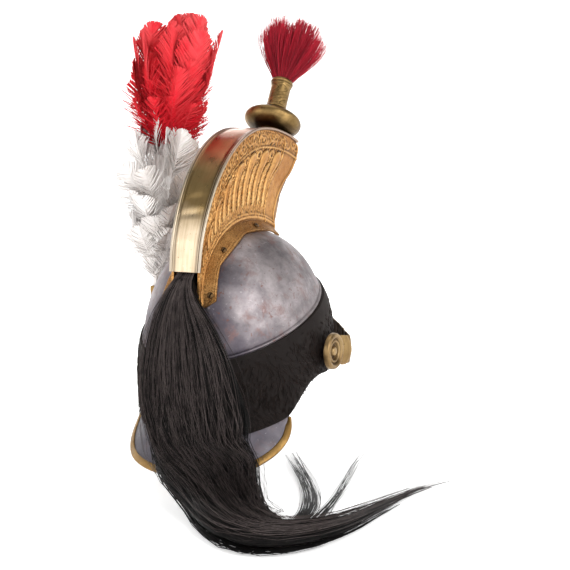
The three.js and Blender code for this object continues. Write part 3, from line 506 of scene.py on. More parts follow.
def makeSkull():
    deg = np.linspace(-180, 180, skull["columns"], endpoint=False)[None, :]
    rim = rimHeight(deg)
    low = lowerHeight(deg)
    bead, proud = skull["beadHeight"] / 2, skull["beadProud"]
    top = rim + bead + 1.2 * mm
    level = np.clip((top - skull["springZ"]) / skull["rise"], 0, 1)
    rimRise = np.arcsin(level ** (skull["power"] / 2))
    share = np.linspace(0, 1, skull["domeRows"])[:, None]
    crown = np.radians(skull["crownDeg"])
    rise = crown + (rimRise - crown) * share
    turn = np.radians(deg)
    wave = np.sin(3 * turn + 5 * rise) + 0.7 * np.sin(7 * turn - 4 * rise + 1.3)
    wave = wave + 0.5 * np.sin(11 * turn + 9 * rise)
    dome = domePoint(deg, rise, skull["waviness"] * wave * np.sin(np.pi * share) * 0.6)
    lip = np.linspace(1, -1, 11)[:, None]
    beadRows = skullPoint(deg, rim + lip * bead, proud * np.sqrt(np.maximum(1 - lip ** 2, 0)))
    groove = skullPoint(deg, rim + bead + 0.35 * mm, -0.45 * mm)
    drop = np.linspace(0.02, 1, 8)[:, None]
    drum = skullPoint(deg, rim - bead + (low - rim + bead) * drop, 0.0)
    inside = skullPoint(deg, low + (rim - low) * np.linspace(0, 1, 8)[:, None], -skull["wall"])
    insideRise = rimRise + (crown - rimRise) * np.linspace(0.05, 1, 20)[:, None]
    hollow = domePoint(deg, insideRise, -skull["wall"])
    rows = np.concatenate([dome, groove, beadRows, drum, inside, hollow])
    made = meshObject("skullShell", rows, loftFaces(len(rows), skull["columns"]), finishes["steel"], 50)
    putOn(made, "steel", "skull")


# Turban: band of short dark fur below the bead

turban = {
    "thickness": {0.0: 3.2, 0.14: 4.8, 0.5: 5.4, 0.86: 4.6, 1.0: 1.8},
    "columns": 220, "rows": 24, "lumps": 0.7 * mm, "hairs": 5800, "hairLength": 8 * mm,
    "hairRadius": 0.36 * mm,
}


def turbanOuter(deg, share, lift=0.0):
    top = rimHeight(deg) - skull["beadHeight"] / 2 - clear
    thick = np.interp(share, list(turban["thickness"]), np.array(list(turban["thickness"].values())) * mm)
    turn = np.radians(deg)
    lumps = np.sin(31 * turn + 9 * share) * np.sin(17 * share + 5 * turn)
    lumps = lumps + 0.6 * np.sin(53 * turn - 21 * share)
    lumps = lumps * turban["lumps"] * 0.5 * np.sin(np.pi * np.clip(share, 0, 1))
    return skullPoint(deg, top + (lowerHeight(deg) - top) * share, clear + thick + lumps + lift)


def makeTurban():
    deg = np.linspace(-180, 180, turban["columns"], endpoint=False)[None, :]
    share = np.linspace(0, 1, turban["rows"])[:, None]
    outer = turbanOuter(deg, share)
    top = rimHeight(deg) - skull["beadHeight"] / 2 - clear
    climb = np.linspace(0, 1, 6)[:, None]
    inner = skullPoint(deg, lowerHeight(deg) + (top - lowerHeight(deg)) * climb, clear)
    rows = np.concatenate([outer, inner])
    faces = gridFaces(len(rows), turban["columns"], ringRows=True, ringColumns=True)
    shade = np.full(len(rows) * turban["columns"], 0.12)
    base = meshObject("turbanBand", rows, faces, finishes["fur"], 60, {"shade": shade})
    count = turban["hairs"]
    deg = chance.uniform(-180, 180, count)
    share = chance.uniform(0.0, 0.97, count) ** 0.95
    root = turbanOuter(deg, share, -0.4 * mm)
    outward = unit(turbanOuter(deg, share, 2 * mm) - turbanOuter(deg, share, -2 * mm))
    around = unit(turbanOuter(deg + 0.5, share) - turbanOuter(deg - 0.5, share))
    down = unit(np.cross(around, outward))
    down = np.where((down[:, 2] > 0)[:, None], -down, down)
    swirl = 0.75 * np.sin(np.radians(deg) * 9 + share * 7)[:, None] + chance.normal(0, 0.45, (count, 1))
    lay = unit(down + around * swirl)
    length = turban["hairLength"] * chance.uniform(0.6, 1.25, (count, 1))
    length = length * (1 - 0.45 * smoothStep(0.6, 1, share))[:, None]
    middle = root + lay * length * 0.45 + outward * length * chance.uniform(0.08, 0.17, (count, 1))
    tip = root + lay * length + outward * length * chance.uniform(0.0, 0.13, (count, 1))
    shade = np.clip(chance.normal(0.3, 0.2, (count, 1)), 0, 1) * np.array([0.5, 0.9, 1.2])
    batch = {"lines": np.stack([root, middle, tip], 1), "facing": outward[:, None],
             "shade": np.clip(shade, 0, 1), "thickness": turban["hairRadius"] * np.array([1.0, 0.85, 0.25])}
    hairs = strandObject("turbanHairs", [batch], finishes["fur"])
    putOn(joined("turbanFur", base, hairs), "fur", "turban")


# Neck guard and visor: bent steel plates, each with a brass channel on its edge

peaks = {
    "neckGuard": {"centreDeg": 0, "spanDeg": 66.5, "drop": 36 * mm, "reach": 17 * mm, "corner": 2.7,
                  "bow": 1.4, "node": "neck_guard"},
    "visor": {"centreDeg": 180, "spanDeg": 58, "drop": 22 * mm, "reach": 34 * mm, "corner": 2.7,
              "bow": 1.1, "node": "visor"},
}
peakPlate = {"thick": 1.4 * mm, "columns": 150, "rows": 16, "ends": 0.9995}
peakTrim = {"width": 6 * mm, "proud": 1.3 * mm, "gap": 0.3 * mm}


def peakPoint(peak, off, share):
    fullness = (1 - np.abs(off / peak["spanDeg"]) ** peak["corner"]) ** (1 / peak["corner"])
    deg = peak["centreDeg"] + off
    z = lowerHeight(deg) - clear - peak["drop"] * fullness * share
    return skullPoint(deg, z, -skull["wall"] / 2 + peak["reach"] * fullness * share ** peak["bow"])


def makePeak(name, peak):
    off = np.linspace(-1, 1, peakPlate["columns"]) * peak["spanDeg"] * peakPlate["ends"]
    off = (np.sin(off / off[-1] * np.pi / 2) * off[-1])[:, None]
    share = np.linspace(0, 1, peakPlate["rows"])[None, :]
    middle = peakPoint(peak, off, share)
    normal = gridNormals(middle)
    half = peakPlate["thick"] / 2
    points, faces = plateArrays(middle + normal * half, middle - normal * half)
    plate = meshObject(name + "Plate", points, faces, finishes["steel"], 50)
    putOn(plate, "steel", peak["node"])
    edge = middle[:, -1]
    along = unit(np.gradient(edge, axis=0))
    inward = unit(middle[:, -2] - edge)
    inward = unit(inward - along * np.sum(inward * along, -1, keepdims=True))
    across = np.cross(along, inward)
    high = half + peakTrim["proud"]
    low = half + peakTrim["gap"]
    bend = np.radians(np.linspace(-90, 90, 13))
    outer = [(-0.35 * mm - high * 0.62 * math.cos(a), high * math.sin(a)) for a in bend]
    lip = peakTrim["width"]
    upper = [(lip - 0.9 * mm, high), (lip - 0.25 * mm, high * 0.85), (lip, low + 0.2 * mm),
             (lip - 0.3 * mm, low), (0.25 * mm, low)]
    section = np.array(outer + upper + [(x, -h) for x, h in upper[::-1]])
    loops = edge[:, None] + inward[:, None] * section[None, :, :1] + across[:, None] * section[None, :, 1:]
    trim = meshObject(name + "Trim", loops, loftFaces(len(loops), len(section)), finishes["trim"], 50)
    putOn(trim, "smooth_brass", peak["node"] + "_trim")


# Crest: two embossed sides, a smooth band over the top and a strip down the front

crest = {
    "halfWidthLow": 15.7 * mm, "lowZ": 133 * mm, "halfWidthHigh": 19.3 * mm, "highZ": 277 * mm,
    "top": [(102.5, 133), (97, 165), (82, 202), (61, 233), (31, 259), (-5, 274), (-43, 276), (-80, 270),
            (-101, 263)],
    "front": [(-53, 168), (-51, 182), (-58, 201), (-71, 217), (-88, 229), (-98, 240), (-105, 254),
              (-101, 263)],
    "backDeg": 29.5, "frontDeg": 113, "lowLift": 2 * mm, "lift": 7 * mm, "widen": 6 * mm, "widenShare": 0.22,
    "footSide": 0.4 * mm, "flangeReach": 13.5 * mm, "flangeTip": 0.25, "backTaper": 0.07,
    "frontTaper": 0.05, "lobe": 3.4 * mm, "plate": 1.4 * mm, "columns": 320, "levels": 106,
    "flangeLevels": 18,
}
relief = {
    "flutes": 9, "fluteEnd": 0.9, "fluteHeight": 1.9 * mm, "border": 19 * mm, "scrollHeight": 1.3 * mm,
    "scrolls": 11, "stipple": 0.24 * mm, "moulding": 1.2 * mm,
}
crestTop = curveThrough([(0, y * mm, z * mm) for y, z in crest["top"]])
crestFront = curveThrough([(0, y * mm, z * mm) for y, z in crest["front"]])


def crestHalfWidth(z):
    share = np.clip((z - crest["lowZ"]) / (crest["highZ"] - crest["lowZ"]), -0.3, 1)
    return crest["halfWidthLow"] + (crest["halfWidthHigh"] - crest["halfWidthLow"]) * share


# Point of the skull, grown outwards, at a side distance x and an angle over the back
def skullOver(x, overDeg, grow):
    x, turn, grow = np.broadcast_arrays(np.asarray(x, float), np.radians(overDeg), grow)
    near, far = np.zeros(x.shape), np.full(x.shape, 0.3)
    for _ in range(50):
        reach = (near + far) / 2
        flat = np.hypot(x / (skull["halfWidth"] + grow), reach * np.cos(turn) / (skull["halfLength"] + grow))
        rise = np.maximum(reach * np.sin(turn), 0) / (skull["rise"] + grow)
        outside = flat ** skull["power"] + rise ** skull["power"] > 1
        far = np.where(outside, reach, far)
        near = np.where(outside, near, reach)
    return np.stack([x, near * np.cos(turn), skull["springZ"] + near * np.sin(turn)], -1)


def crestFoot(share):
    side = crestHalfWidth(crest["lowZ"]) + crest["footSide"]
    side = side + crest["widen"] * np.maximum(0, 1 - share / crest["widenShare"]) ** 2
    lift = crest["lowLift"] + crest["lift"] * np.sin(np.pi * np.minimum(share * 0.62, 0.5))
    return skullOver(side, crest["backDeg"] + (crest["frontDeg"] - crest["backDeg"]) * share, lift)


def flangePoint(share, out):
    foot = crestFoot(share)
    reach = np.minimum(1, np.minimum(crest["flangeTip"] + share / crest["backTaper"],
                                     crest["flangeTip"] + (1 - share) / crest["frontTaper"]))
    over = np.degrees(np.arctan2(foot[..., 2] - skull["springZ"], foot[..., 1]))
    lobe = crest["lobe"] * np.abs(np.sin(np.pi * share * 3.1 + 0.55)) - crest["lobe"]
    edge = skullOver(foot[..., 0] + crest["flangeReach"] * reach + lobe, over, clear + crest["plate"])
    return foot + (edge - foot) * np.asarray(out)[..., None]


def crestSidePoint(share, level):
    share, level = np.broadcast_arrays(share, level)
    s, v = share[..., None], level[..., None]
    foot = crestFoot(share)
    backFoot, frontFoot = crestFoot(np.array(0.0)), crestFoot(np.array(1.0))
    low, high = crestTop(0.0), crestTop(1.0)
    back = backFoot + (low - backFoot) * v
    front = crestFront(level) + (frontFoot - crestFront(0.0)) * (1 - v)
    across = foot + (crestTop(share) - foot) * v
    along = back + (front - back) * s
    corners = (backFoot + (frontFoot - backFoot) * s) * (1 - v) + (low + (high - low) * s) * v
    point = across + along - corners
    lean = np.clip(level / 0.22, 0, 1)
    point[..., 0] = foot[..., 0] + (crestHalfWidth(point[..., 2]) - foot[..., 0]) * lean
    return point


# Height of the embossing, from lengths on the plate
def embossing(share, grid):
    steps = np.linalg.norm(np.diff(grid, axis=1), axis=2)
    run = np.concatenate([np.zeros((len(grid), 1)), np.cumsum(steps, 1)], 1)
    height = run[:, -1:]
    fromFoot, fromTop = run, height - run
    pace = np.linalg.norm(np.gradient(grid, axis=0), axis=2) * (len(grid) - 1)
    border = np.minimum(relief["border"], height * 0.3)
    front = smoothStep(0.875, 0.9, share)
    field = (1 - front) * smoothStep(0, 2.5 * mm, fromTop - border - 1.6 * mm)
    field = field * smoothStep(0, 2 * mm, fromFoot - 8 * mm)
    spacing = relief["fluteEnd"] / relief["flutes"]
    cell = np.clip(np.floor(share / spacing), 0, relief["flutes"] - 1)
    off = (share - (cell + 0.5) * spacing) * pace
    headLine = border + 4.5 * mm

    def drops(aside, head, plump):
        reach = np.clip((fromTop - head) / np.maximum(height - head - 12 * mm, 6 * mm), -0.3, 1.2)
        girth = spacing * pace * plump * np.clip(1 - 0.78 * reach, 0.1, 1)
        girth = girth * np.sqrt(np.clip(1 - np.clip((0.12 - reach) / 0.13, 0, 1) ** 2, 0, 1))
        girth = np.maximum(girth * smoothStep(1.0, 0.8, reach), 0.05 * mm)
        body = np.where(girth > 0.3 * mm, np.sqrt(np.clip(1 - (aside / girth) ** 2, 0, 1)), 0)
        outline = np.where(girth > 0.3 * mm, hump(np.abs(aside) - girth, 0.7 * mm, 0.8 * mm), 0)
        return body, outline * (body <= 0), reach

    tongue, rimLine, reach = drops(off, headLine, 0.31)
    vein = hump(np.abs(off), 0, 0.6 * mm) * tongue * smoothStep(0.05, 0.2, reach)
    high = field * (relief["fluteHeight"] * tongue - 1.1 * mm * rimLine - 0.5 * mm * vein)
    dart = (share - np.round(share / spacing) * spacing) * pace
    small, smallLine, _ = drops(dart, headLine + 15 * mm, 0.15)
    high = high + field * (tongue <= 0) * (1.3 * mm * small - 0.8 * mm * smallLine)
    curl = hump(np.hypot(dart, fromTop - headLine - 4 * mm), 4.2 * mm, 1.1 * mm) * (tongue <= 0)
    high = high + field * 1.0 * mm * curl
    pitch = 0.93 / relief["scrolls"]
    mate = np.round((share - 0.5 * pitch) / pitch)
    u = (share - (mate + 0.5) * pitch) * pace / mm
    w = (fromTop - border * (0.5 + 0.1 * np.cos(np.pi * mate))) / mm
    flip = np.where(mate % 2 > 0, -1, 1)
    r, turn = np.hypot(u, w * 1.25), np.arctan2(w * 1.25, u * flip)
    spiral = 0.5 + 0.5 * np.cos(tau * (r / 4.6 - turn / tau))
    leaves = 0.5 + 0.5 * np.cos(5 * turn + 1.2)
    turns = spiral * np.exp(-(r / 8.5) ** 4) * (0.55 + 0.45 * leaves * smoothStep(3, 7, r))
    stem = hump(w, 4.2 * np.sin(u / (pitch * pace / mm) * tau) * flip, 1.5)
    inBorder = smoothStep(0.6 * mm, 2.2 * mm, fromTop) * smoothStep(0, 2 * mm, border - fromTop)
    high = high + relief["scrollHeight"] * np.maximum(turns, 0.7 * stem) * inBorder
    archLine = hump(fromTop, border + 0.4 * mm, 0.9 * mm)
    high = high + 1.1 * mm * archLine
    mould = hump(fromFoot, 3.2 * mm, 1.5 * mm) + 0.7 * hump(fromFoot, 6.8 * mm, 0.9 * mm)
    high = high + relief["moulding"] * mould
    frontLines = hump((1 - share) * pace, 2.2 * mm, 1.2 * mm) + hump(share, 0.885, 0.004)
    high = high + 0.9 * mm * frontLines * smoothStep(0, 3 * mm, fromTop)
    ground = np.clip(1 - tongue * 2, 0, 1) * (1 - front)
    grain = chance.normal(0, 1, high.shape)
    grain = (grain + np.roll(grain, 1, 0) + np.roll(grain, 1, 1) + np.roll(grain, (1, 1), (0, 1))) / 2
    high = high + relief["stipple"] * grain * ground * smoothStep(0, 6 * mm, fromFoot)
    return high


def softened(field, rounds):
    for _ in range(rounds):
        field = (field + np.roll(field, 1, 0) + np.roll(field, -1, 0)) / 3
        padded = np.pad(field, ((0, 0), (1, 1)), mode="edge")
        field = (padded[:, :-2] + padded[:, 1:-1] + padded[:, 2:]) / 3
    return field


def makeCrestSides():
    share = np.linspace(0, 1, crest["columns"])[:, None]
    level = np.linspace(0, 1, crest["levels"])[None, :]
    side = crestSidePoint(share, level)
    high = embossing(share, side)
    out = np.linspace(1, 0, crest["flangeLevels"], endpoint=False)[None, :]
    flange = flangePoint(share + 0 * out, out + 0 * share)
    lobes = 0.5 + 0.5 * np.abs(np.sin(share * 9 * np.pi))
    seam = hump(out, 0.86 + 0.06 * lobes, 0.05) + 0.6 * hump(out, 0.66 + 0.1 * lobes, 0.05)
    flangeHigh = 0.55 * mm * seam + 0.14 * mm * chance.normal(0, 1, seam.shape)
    base = np.concatenate([flange, side], 1)
    lift = np.concatenate([flangeHigh, high], 1)
    normal = gridNormals(base)
    normal = normal * np.sign(normal[..., :1].mean())
    outer = base + normal * lift[..., None]
    first = crest["flangeLevels"]
    picks = [0, 6, 12, first] + [first + k for k in (20, 45, 70, 90, crest["levels"] - 1)]
    inner = (base - normal * crest["plate"])[:, picks]
    sunk = (softened(lift, 6) - lift) / mm
    hollow = np.clip(sunk * 2.4 + 0.05, 0, 0.95)
    patina = 0.15 + 0.6 * hump(share, 0.0, 0.09) + 0.25 * hump(share, 1.0, 0.05)
    hollow[:, :first] = np.clip(hollow[:, :first] + patina, 0, 0.9)
    worn = np.clip(-sunk * 0.9 - 0.1, 0, 0.7)
    bare = np.zeros((crest["columns"], len(picks)))
    columns = {"hollow": np.concatenate([hollow, bare], 1), "worn": np.concatenate([worn, bare], 1)}
    for side, mirror in bothSides.items():
        points, faces = plateArrays(outer * (mirror, 1, 1), inner * (mirror, 1, 1))
        made = meshObject("crestSide" + side, points, faces, finishes["embossed"], 60, columns)
        putOn(made, "embossed_brass", "crest_side_" + side.lower())


band = {"thick": 1.4 * mm, "overhang": 0.9 * mm, "wire": 1.5 * mm, "steps": 150}
frontStrip = {"thick": 1.2 * mm, "inset": 2.4 * mm, "crown": 0.8 * mm, "from": 0.02, "to": 0.95, "steps": 90,
              "across": 25}


def edgeFrames(curve, share, flip):
    point = curve(share)
    along = unit(curve(np.minimum(share + 0.004, 1)) - curve(np.maximum(share - 0.004, 0)))
    out = np.stack([np.zeros(len(share)), along[:, 2], -along[:, 1]], -1) * flip
    return point, out


def makeBand():
    share = np.linspace(0, 1, band["steps"])
    point, out = edgeFrames(crestTop, share, 1)
    half = crestHalfWidth(point[:, 2]) + band["overhang"]
    wire, low, high = band["wire"], clear, clear + band["thick"]
    ring = [(half + 0.2 * mm + wire * math.cos(a), high + 0.1 * mm + wire * math.sin(a))
            for a in np.radians(np.linspace(-60, 150, 11))]
    second = [(half - 2.4 * mm + 0.8 * wire * math.cos(a), high - 0.2 * mm + 0.7 * wire * math.sin(a))
              for a in np.radians(np.linspace(40, 150, 6))]
    flat = [(half * k - 4.2 * mm * k, high + 0.5 * mm * (1 - k * k)) for k in (1, 0.8, 0.6, 0.4, 0.2, 0)]
    rightSide = [(half, np.full(len(share), low))] + ring + second + flat
    loop = rightSide + [(-x, h) for x, h in rightSide[-2::-1]]
    x = np.stack([np.broadcast_to(x, len(share)) for x, _ in loop], 1)
    rise = np.stack([np.broadcast_to(h, len(share)) for _, h in loop], 1)
    inBand = np.clip(1 - np.abs(x) / (half[:, None] - 3 * mm), 0, 1) ** 0.5
    slant = share[:, None] + x * 0.35
    dents = -0.55 * mm * hump(slant, 0.205, 0.012) + 0.4 * mm * hump(slant, 0.235, 0.016)
    dents = dents - 0.4 * mm * hump(slant, 0.27, 0.012)
    dents = dents - 0.35 * mm * hump(share[:, None] - x * 0.5, 0.52, 0.03)
    ripple = 0.09 * mm * np.sin(share[:, None] * 37 + x * 90)
    ripple = ripple + 0.07 * mm * np.sin(share[:, None] * 71 - x * 140)
    rise = rise + np.where(rise > low + 0.5 * mm, (dents + ripple) * inBand, 0)
    loops = point[:, None] + out[:, None] * rise[..., None] + np.stack([x, 0 * x, 0 * x], -1)
    inset = np.abs(x) - half[:, None]
    silver = 0.55 * smoothStep(-1.5 * mm, -0.9 * mm, inset) + 0.3 * hump(inset, -2.7 * mm, 0.5 * mm)
    groove = 0.9 * hump(inset, -1.75 * mm, 0.5 * mm) + 0.8 * hump(inset, -3.9 * mm, 0.5 * mm)
    columns = {"silver": np.clip(silver, 0, 0.85), "hollow": np.clip(groove, 0, 0.9)}
    made = meshObject("crestBand", loops, loftFaces(len(loops), len(loop)), finishes["band"], 45, columns)
    putOn(made, "smooth_brass", "crest_band")


def makeFrontStrip():
    share = np.linspace(frontStrip["from"], frontStrip["to"], frontStrip["steps"])
    point, out = edgeFrames(crestFront, share, -1)
    half = crestHalfWidth(point[:, 2]) - frontStrip["inset"]
    across = np.linspace(-1, 1, frontStrip["across"])
    crown = clear + frontStrip["thick"] + frontStrip["crown"] * (1 - across ** 2)
    crown = crown + 0.7 * mm * (hump(across, 0.9, 0.06) + hump(across, -0.9, 0.06))
    x = np.concatenate([across, across[::-1]])
    rise = np.concatenate([crown, np.full(len(across), clear)])
    loops = point[:, None] + out[:, None] * rise[None, :, None]
    loops[..., 0] = x[None] * half[:, None]
    made = meshObject("crestFrontStrip", loops, loftFaces(len(loops), len(x)), finishes["band"], 45)
    putOn(made, "smooth_brass", "crest_front")


# Screws on the flanges: one slotted head, set on points by their normals

screw = {"profile": [(3.05, -0.2), (3.2, 0.2), (3.1, 0.75), (2.3, 1.3), (1.1, 1.6), (0.05, 1.65)],
         "sides": 32, "shares": (0.075, 0.36, 0.72), "out": 0.55, "slot": 0.5 * mm, "slotDepth": 0.75 * mm}


def makeScrewTree():
    inputs = {"Spots": "Geometry", "Head": "Object", "Size": "Float", "Finish": "Material"}
    tree, sockets, given = startTree("screwsOnFlanges", inputs, "Screws")
    head = addNode(tree, "GeometryNodeObjectInfo", {"Object": given["Head"]}).outputs["Geometry"]
    facing = readAttribute(tree, "facing", "FLOAT_VECTOR")
    turn = addNode(tree, "FunctionNodeAlignRotationToVector", {"Vector": facing}, axis="Z").outputs[0]
    inputs = {"Points": given["Spots"], "Instance": head, "Rotation": turn, "Scale": given["Size"]}
    endTree(tree, addNode(tree, "GeometryNodeInstanceOnPoints", inputs).outputs[0], given["Finish"])
    return tree, sockets


def makeScrews():
    profile = softProfile(screw["profile"], 1) * mm
    points, faces = turnedArrays(profile, screw["sides"], (0, 0, 0), (0, 0, 1))
    inSlot = smoothStep(screw["slot"] * 1.3, screw["slot"] * 0.9, np.abs(points[:, 0]))
    inSlot = inSlot * (points[:, 2] > 0.3 * mm)
    points[:, 2] = points[:, 2] - screw["slotDepth"] * inSlot
    head = meshObject("screwHead", points, faces, finishes["screw"], 35, {"hollow": inSlot})
    spots, facing = [], []
    for mirror in bothSides.values():
        for share in screw["shares"]:
            share = np.array(share)
            spot = flangePoint(share, screw["out"])
            along = flangePoint(share + 0.01, screw["out"]) - flangePoint(share - 0.01, screw["out"])
            over = flangePoint(share, 1.0) - flangePoint(share, 0.2)
            normal = unit(np.cross(along, over))
            normal = normal * np.sign(normal[2])
            spots.append((spot + normal * (clear + 0.4 * mm)) * (mirror, 1, 1))
            facing.append(normal * (mirror, 1, 1))
    mesh = bpy.data.meshes.new("screwSpots")
    mesh.from_pydata(np.array(spots).tolist(), [], [])
    layer = mesh.attributes.new("facing", "FLOAT_VECTOR", "POINT")
    layer.data.foreach_set("vector", np.array(facing, np.float32).ravel())
    tree, sockets = makeScrewTree()
    values = {"Head": head, "Size": 1.0, "Finish": finishes["screw"]}
    made = grown("crestScrews", mesh, tree, sockets, values)
    bpy.data.objects.remove(head)
    nodes = [f"crest_screw_{side}_{k}" for side in ("left", "right") for k in (1, 2, 3)]
    putOn(made, "dark_bronze", *nodes)


# Finial: flat knob, engraved tube and crimson brush, leaning forwards

finial = {
    "y": -81 * mm, "z": 289 * mm, "leanDeg": 27, "tubeBottom": 9.35 * mm, "tubeHeight": 39 * mm,
    "tubeRadius": 11.4 * mm, "tubeSides": 108, "tubeRows": 90, "knobSides": 88,
    "knob": [(0.5, -26), (12.6, -26), (13, -17), (16, -14.6), (24, -12), (30.5, -7.5), (32.2, -2.5),
             (31.2, 1.6), (27.5, 4.6), (21, 6.6), (17.5, 7), (16.6, 8.4), (14, 9), (0.5, 9)],
}
tuft = {"bottom": 48.7 * mm, "baseRadius": 9.3 * mm, "topRadius": 36 * mm, "height": 73 * mm,
        "bristles": 2400, "thick": 0.34 * mm, "points": 6}
finialLean = math.radians(finial["leanDeg"])
finialOrigin = np.array([0, finial["y"], finial["z"]])
finialAxis = np.array([0, -math.sin(finialLean), math.cos(finialLean)])
finialSide = np.array([1.0, 0, 0])
finialBack = np.cross(finialAxis, finialSide)


def tubeEngraving(height, turn):
    z = (height - finial["tubeBottom"]) / finial["tubeHeight"]
    vine = np.abs(np.sin(3 * turn + 5.5 * np.sin(7 * z)))
    leaf = np.sin(6 * turn + 11 * z) * np.sin(23 * z - 3 * turn)
    cut = -0.32 * mm * smoothStep(0.28, 0.05, vine) - 0.25 * mm * smoothStep(0.35, 0.75, leaf)
    rings = 0.9 * mm * (hump(z, 0.05, 0.022) + hump(z, 0.94, 0.03)) + 0.6 * mm * hump(z, 0.13, 0.016)
    rings = rings - 0.4 * mm * hump(z, 0.095, 0.014) + 0.5 * mm * hump(z, 0.86, 0.015)
    flare = 0.9 * mm * smoothStep(0.75, 1.0, z) + 0.8 * mm * smoothStep(0.3, 0.0, z)
    inPattern = smoothStep(0.15, 0.2, z) * smoothStep(0.84, 0.79, z)
    return cut * inPattern + rings + flare - 0.3 * mm


def makeFinial():
    profile = softProfile(finial["knob"], 2) * mm
    points, faces = turnedArrays(profile, finial["knobSides"], finialOrigin, finialAxis)
    height = profile[:, 1]
    # Darker over the underside and neck: painted shade; also darker in the step near the top
    knobShade = 0.75 * hump(height, 7.1 * mm, 1.0 * mm) + 0.8 * smoothStep(-8 * mm, -14 * mm, height)
    knobShade = np.repeat(np.clip(knobShade, 0, 1), finial["knobSides"])
    knob = meshObject("finialKnob", points, faces, finishes["bronze"], 40, {"hollow": knobShade})
    putOn(knob, "dark_bronze", "finial_knob")
    low, tall, radius = finial["tubeBottom"], finial["tubeHeight"], finial["tubeRadius"]
    top, sides = low + tall, finial["tubeSides"]
    wall = [(radius, low + tall * share) for share in np.linspace(0, 1, finial["tubeRows"])]
    mouth = [(radius - 1.9 * mm, top), (radius - 2.1 * mm, top - 3 * mm), (0.5 * mm, top - 3 * mm)]
    profile = [(0.5 * mm, low)] + wall + mouth
    points, faces = turnedArrays(profile, sides, finialOrigin, finialAxis, tubeEngraving)
    heights = np.array([h for _, h in profile])[:, None]
    carved = tubeEngraving(heights, np.linspace(0, tau, sides, endpoint=False)[None, :])
    hollow = np.clip((softened(carved, 4) - carved) / mm * 4.5, 0, 0.9)
    tube = meshObject("finialTube", points, faces, finishes["bronze"], 45, {"hollow": hollow})
    putOn(tube, "dark_bronze", "finial_tube")


def makeTuft():
    count, steps = tuft["bristles"], tuft["points"]
    ring = np.sqrt(chance.uniform(0, 1, count))
    turn = chance.uniform(0, tau, count)
    spread = np.clip(ring + chance.normal(0, 0.1, count), 0, 1.12)
    lock = 0.1 * np.sin(5 * turn + 1.1) + 0.07 * np.sin(9 * turn + 0.4)
    tall = tuft["height"] * (1 - 0.17 * spread ** 2 + lock * 0.6) * chance.uniform(0.9, 1.02, count)
    t = np.linspace(0, 1, steps)[None, :]
    base = (tuft["baseRadius"] * ring)[:, None]
    top = (tuft["topRadius"] * spread * (1 + lock))[:, None]
    flare = base + (top - base) * (0.35 * t + 0.65 * np.sin(t * np.pi / 2) ** 1.3)
    bend = chance.normal(0, 1.0 * mm, (count, 1)) * np.sin(t * np.pi)
    angle = (turn + chance.normal(0, 0.12, count))[:, None] * t + turn[:, None] * (1 - t)
    x, y = flare * np.cos(angle) + bend, flare * np.sin(angle)
    height = tuft["bottom"] - 2.5 * mm + tall[:, None] * t * (1 + 0.03 * np.sin(turn * 3))[:, None]
    lines = finialOrigin + x[..., None] * finialSide + y[..., None] * finialBack
    lines = lines + height[..., None] * finialAxis
    facing = unit(np.cos(turn)[:, None] * finialSide + np.sin(turn)[:, None] * finialBack)[:, None]
    shade = np.clip(chance.normal(0.5, 0.22, (count, 1)) + 0.35 * (t - 0.45), 0, 1)
    batch = {"lines": lines, "facing": facing, "shade": shade, "thickness": tuft["thick"] * (1 - 0.45 * t)}
    made = strandObject("finialTuft", [batch], finishes["tuft"])
    putOn(made, "crimson_hair", "finial_tuft")


# Bosses over the ears

boss = {
    "x": 107.4 * mm, "y": -9 * mm, "z": 45.5 * mm, "sides": 60,
    "profile": [(0.4, -5), (3.4, -5), (3.4, 0), (19.3, 0), (19.3, 3.4), (18.9, 5.4), (17.6, 6.9), (16.2, 7.3),
                (14.6, 6.6), (13.4, 4.4), (12.6, 4.1), (12.0, 4.9), (11.2, 5.7), (10, 5.6), (9.2, 4.4),
                (8.6, 2.4), (5.6, 2.2), (5.1, 3.6), (4.2, 5.4), (2.4, 6.3), (0.4, 6.5)],
}


def makeBosses():
    profile = softProfile(boss["profile"], 2)
    radius, height = profile.T
    dark = 0.95 * hump(radius, 7.1, 1.9) * (height < 4.6) + 0.75 * hump(radius, 13, 0.9) * (height < 5.2)
    dark = np.repeat(np.clip(dark + 0.4 * (height < 1), 0, 1), boss["sides"])
    for side, mirror in bothSides.items():
        origin = (boss["x"] * mirror, boss["y"], boss["z"])
        points, faces = turnedArrays(profile * mm, boss["sides"], origin, (mirror, 0, 0))
        made = meshObject("boss" + side, points, faces, finishes["boss"], 45, {"hollow": dark})
        putOn(made, "smooth_brass", "boss_" + side.lower())


# Chin scales: overlapping plates from each boss round to the front

scales = {
    "count": 12, "startWidth": 32 * mm, "endWidth": 21 * mm, "startDeg": 98, "endDeg": 178,
    "thick": 1.1 * mm, "lift": 1.9 * mm, "crown": 1.6 * mm, "across": 21, "along": 10,
}
scaleRoute = {  # share of the route, distance from the skull and height
    "share": (0, 0.08, 0.2, 0.36, 0.62, 1), "lift": (8.8, 11, 21.5, 17, 10, 7.6),
    "z": (45.5, 43.5, 41, 43, 57, 76),
}


def scalePlace(share):
    deg = scales["startDeg"] + (scales["endDeg"] - scales["startDeg"]) * share
    z = np.interp(share, scaleRoute["share"], scaleRoute["z"]) * mm
    lift = np.interp(share, scaleRoute["share"], scaleRoute["lift"]) * mm
    point = skullPoint(deg, np.minimum(z, skull["springZ"]), lift)
    point[..., 2] = z
    return point


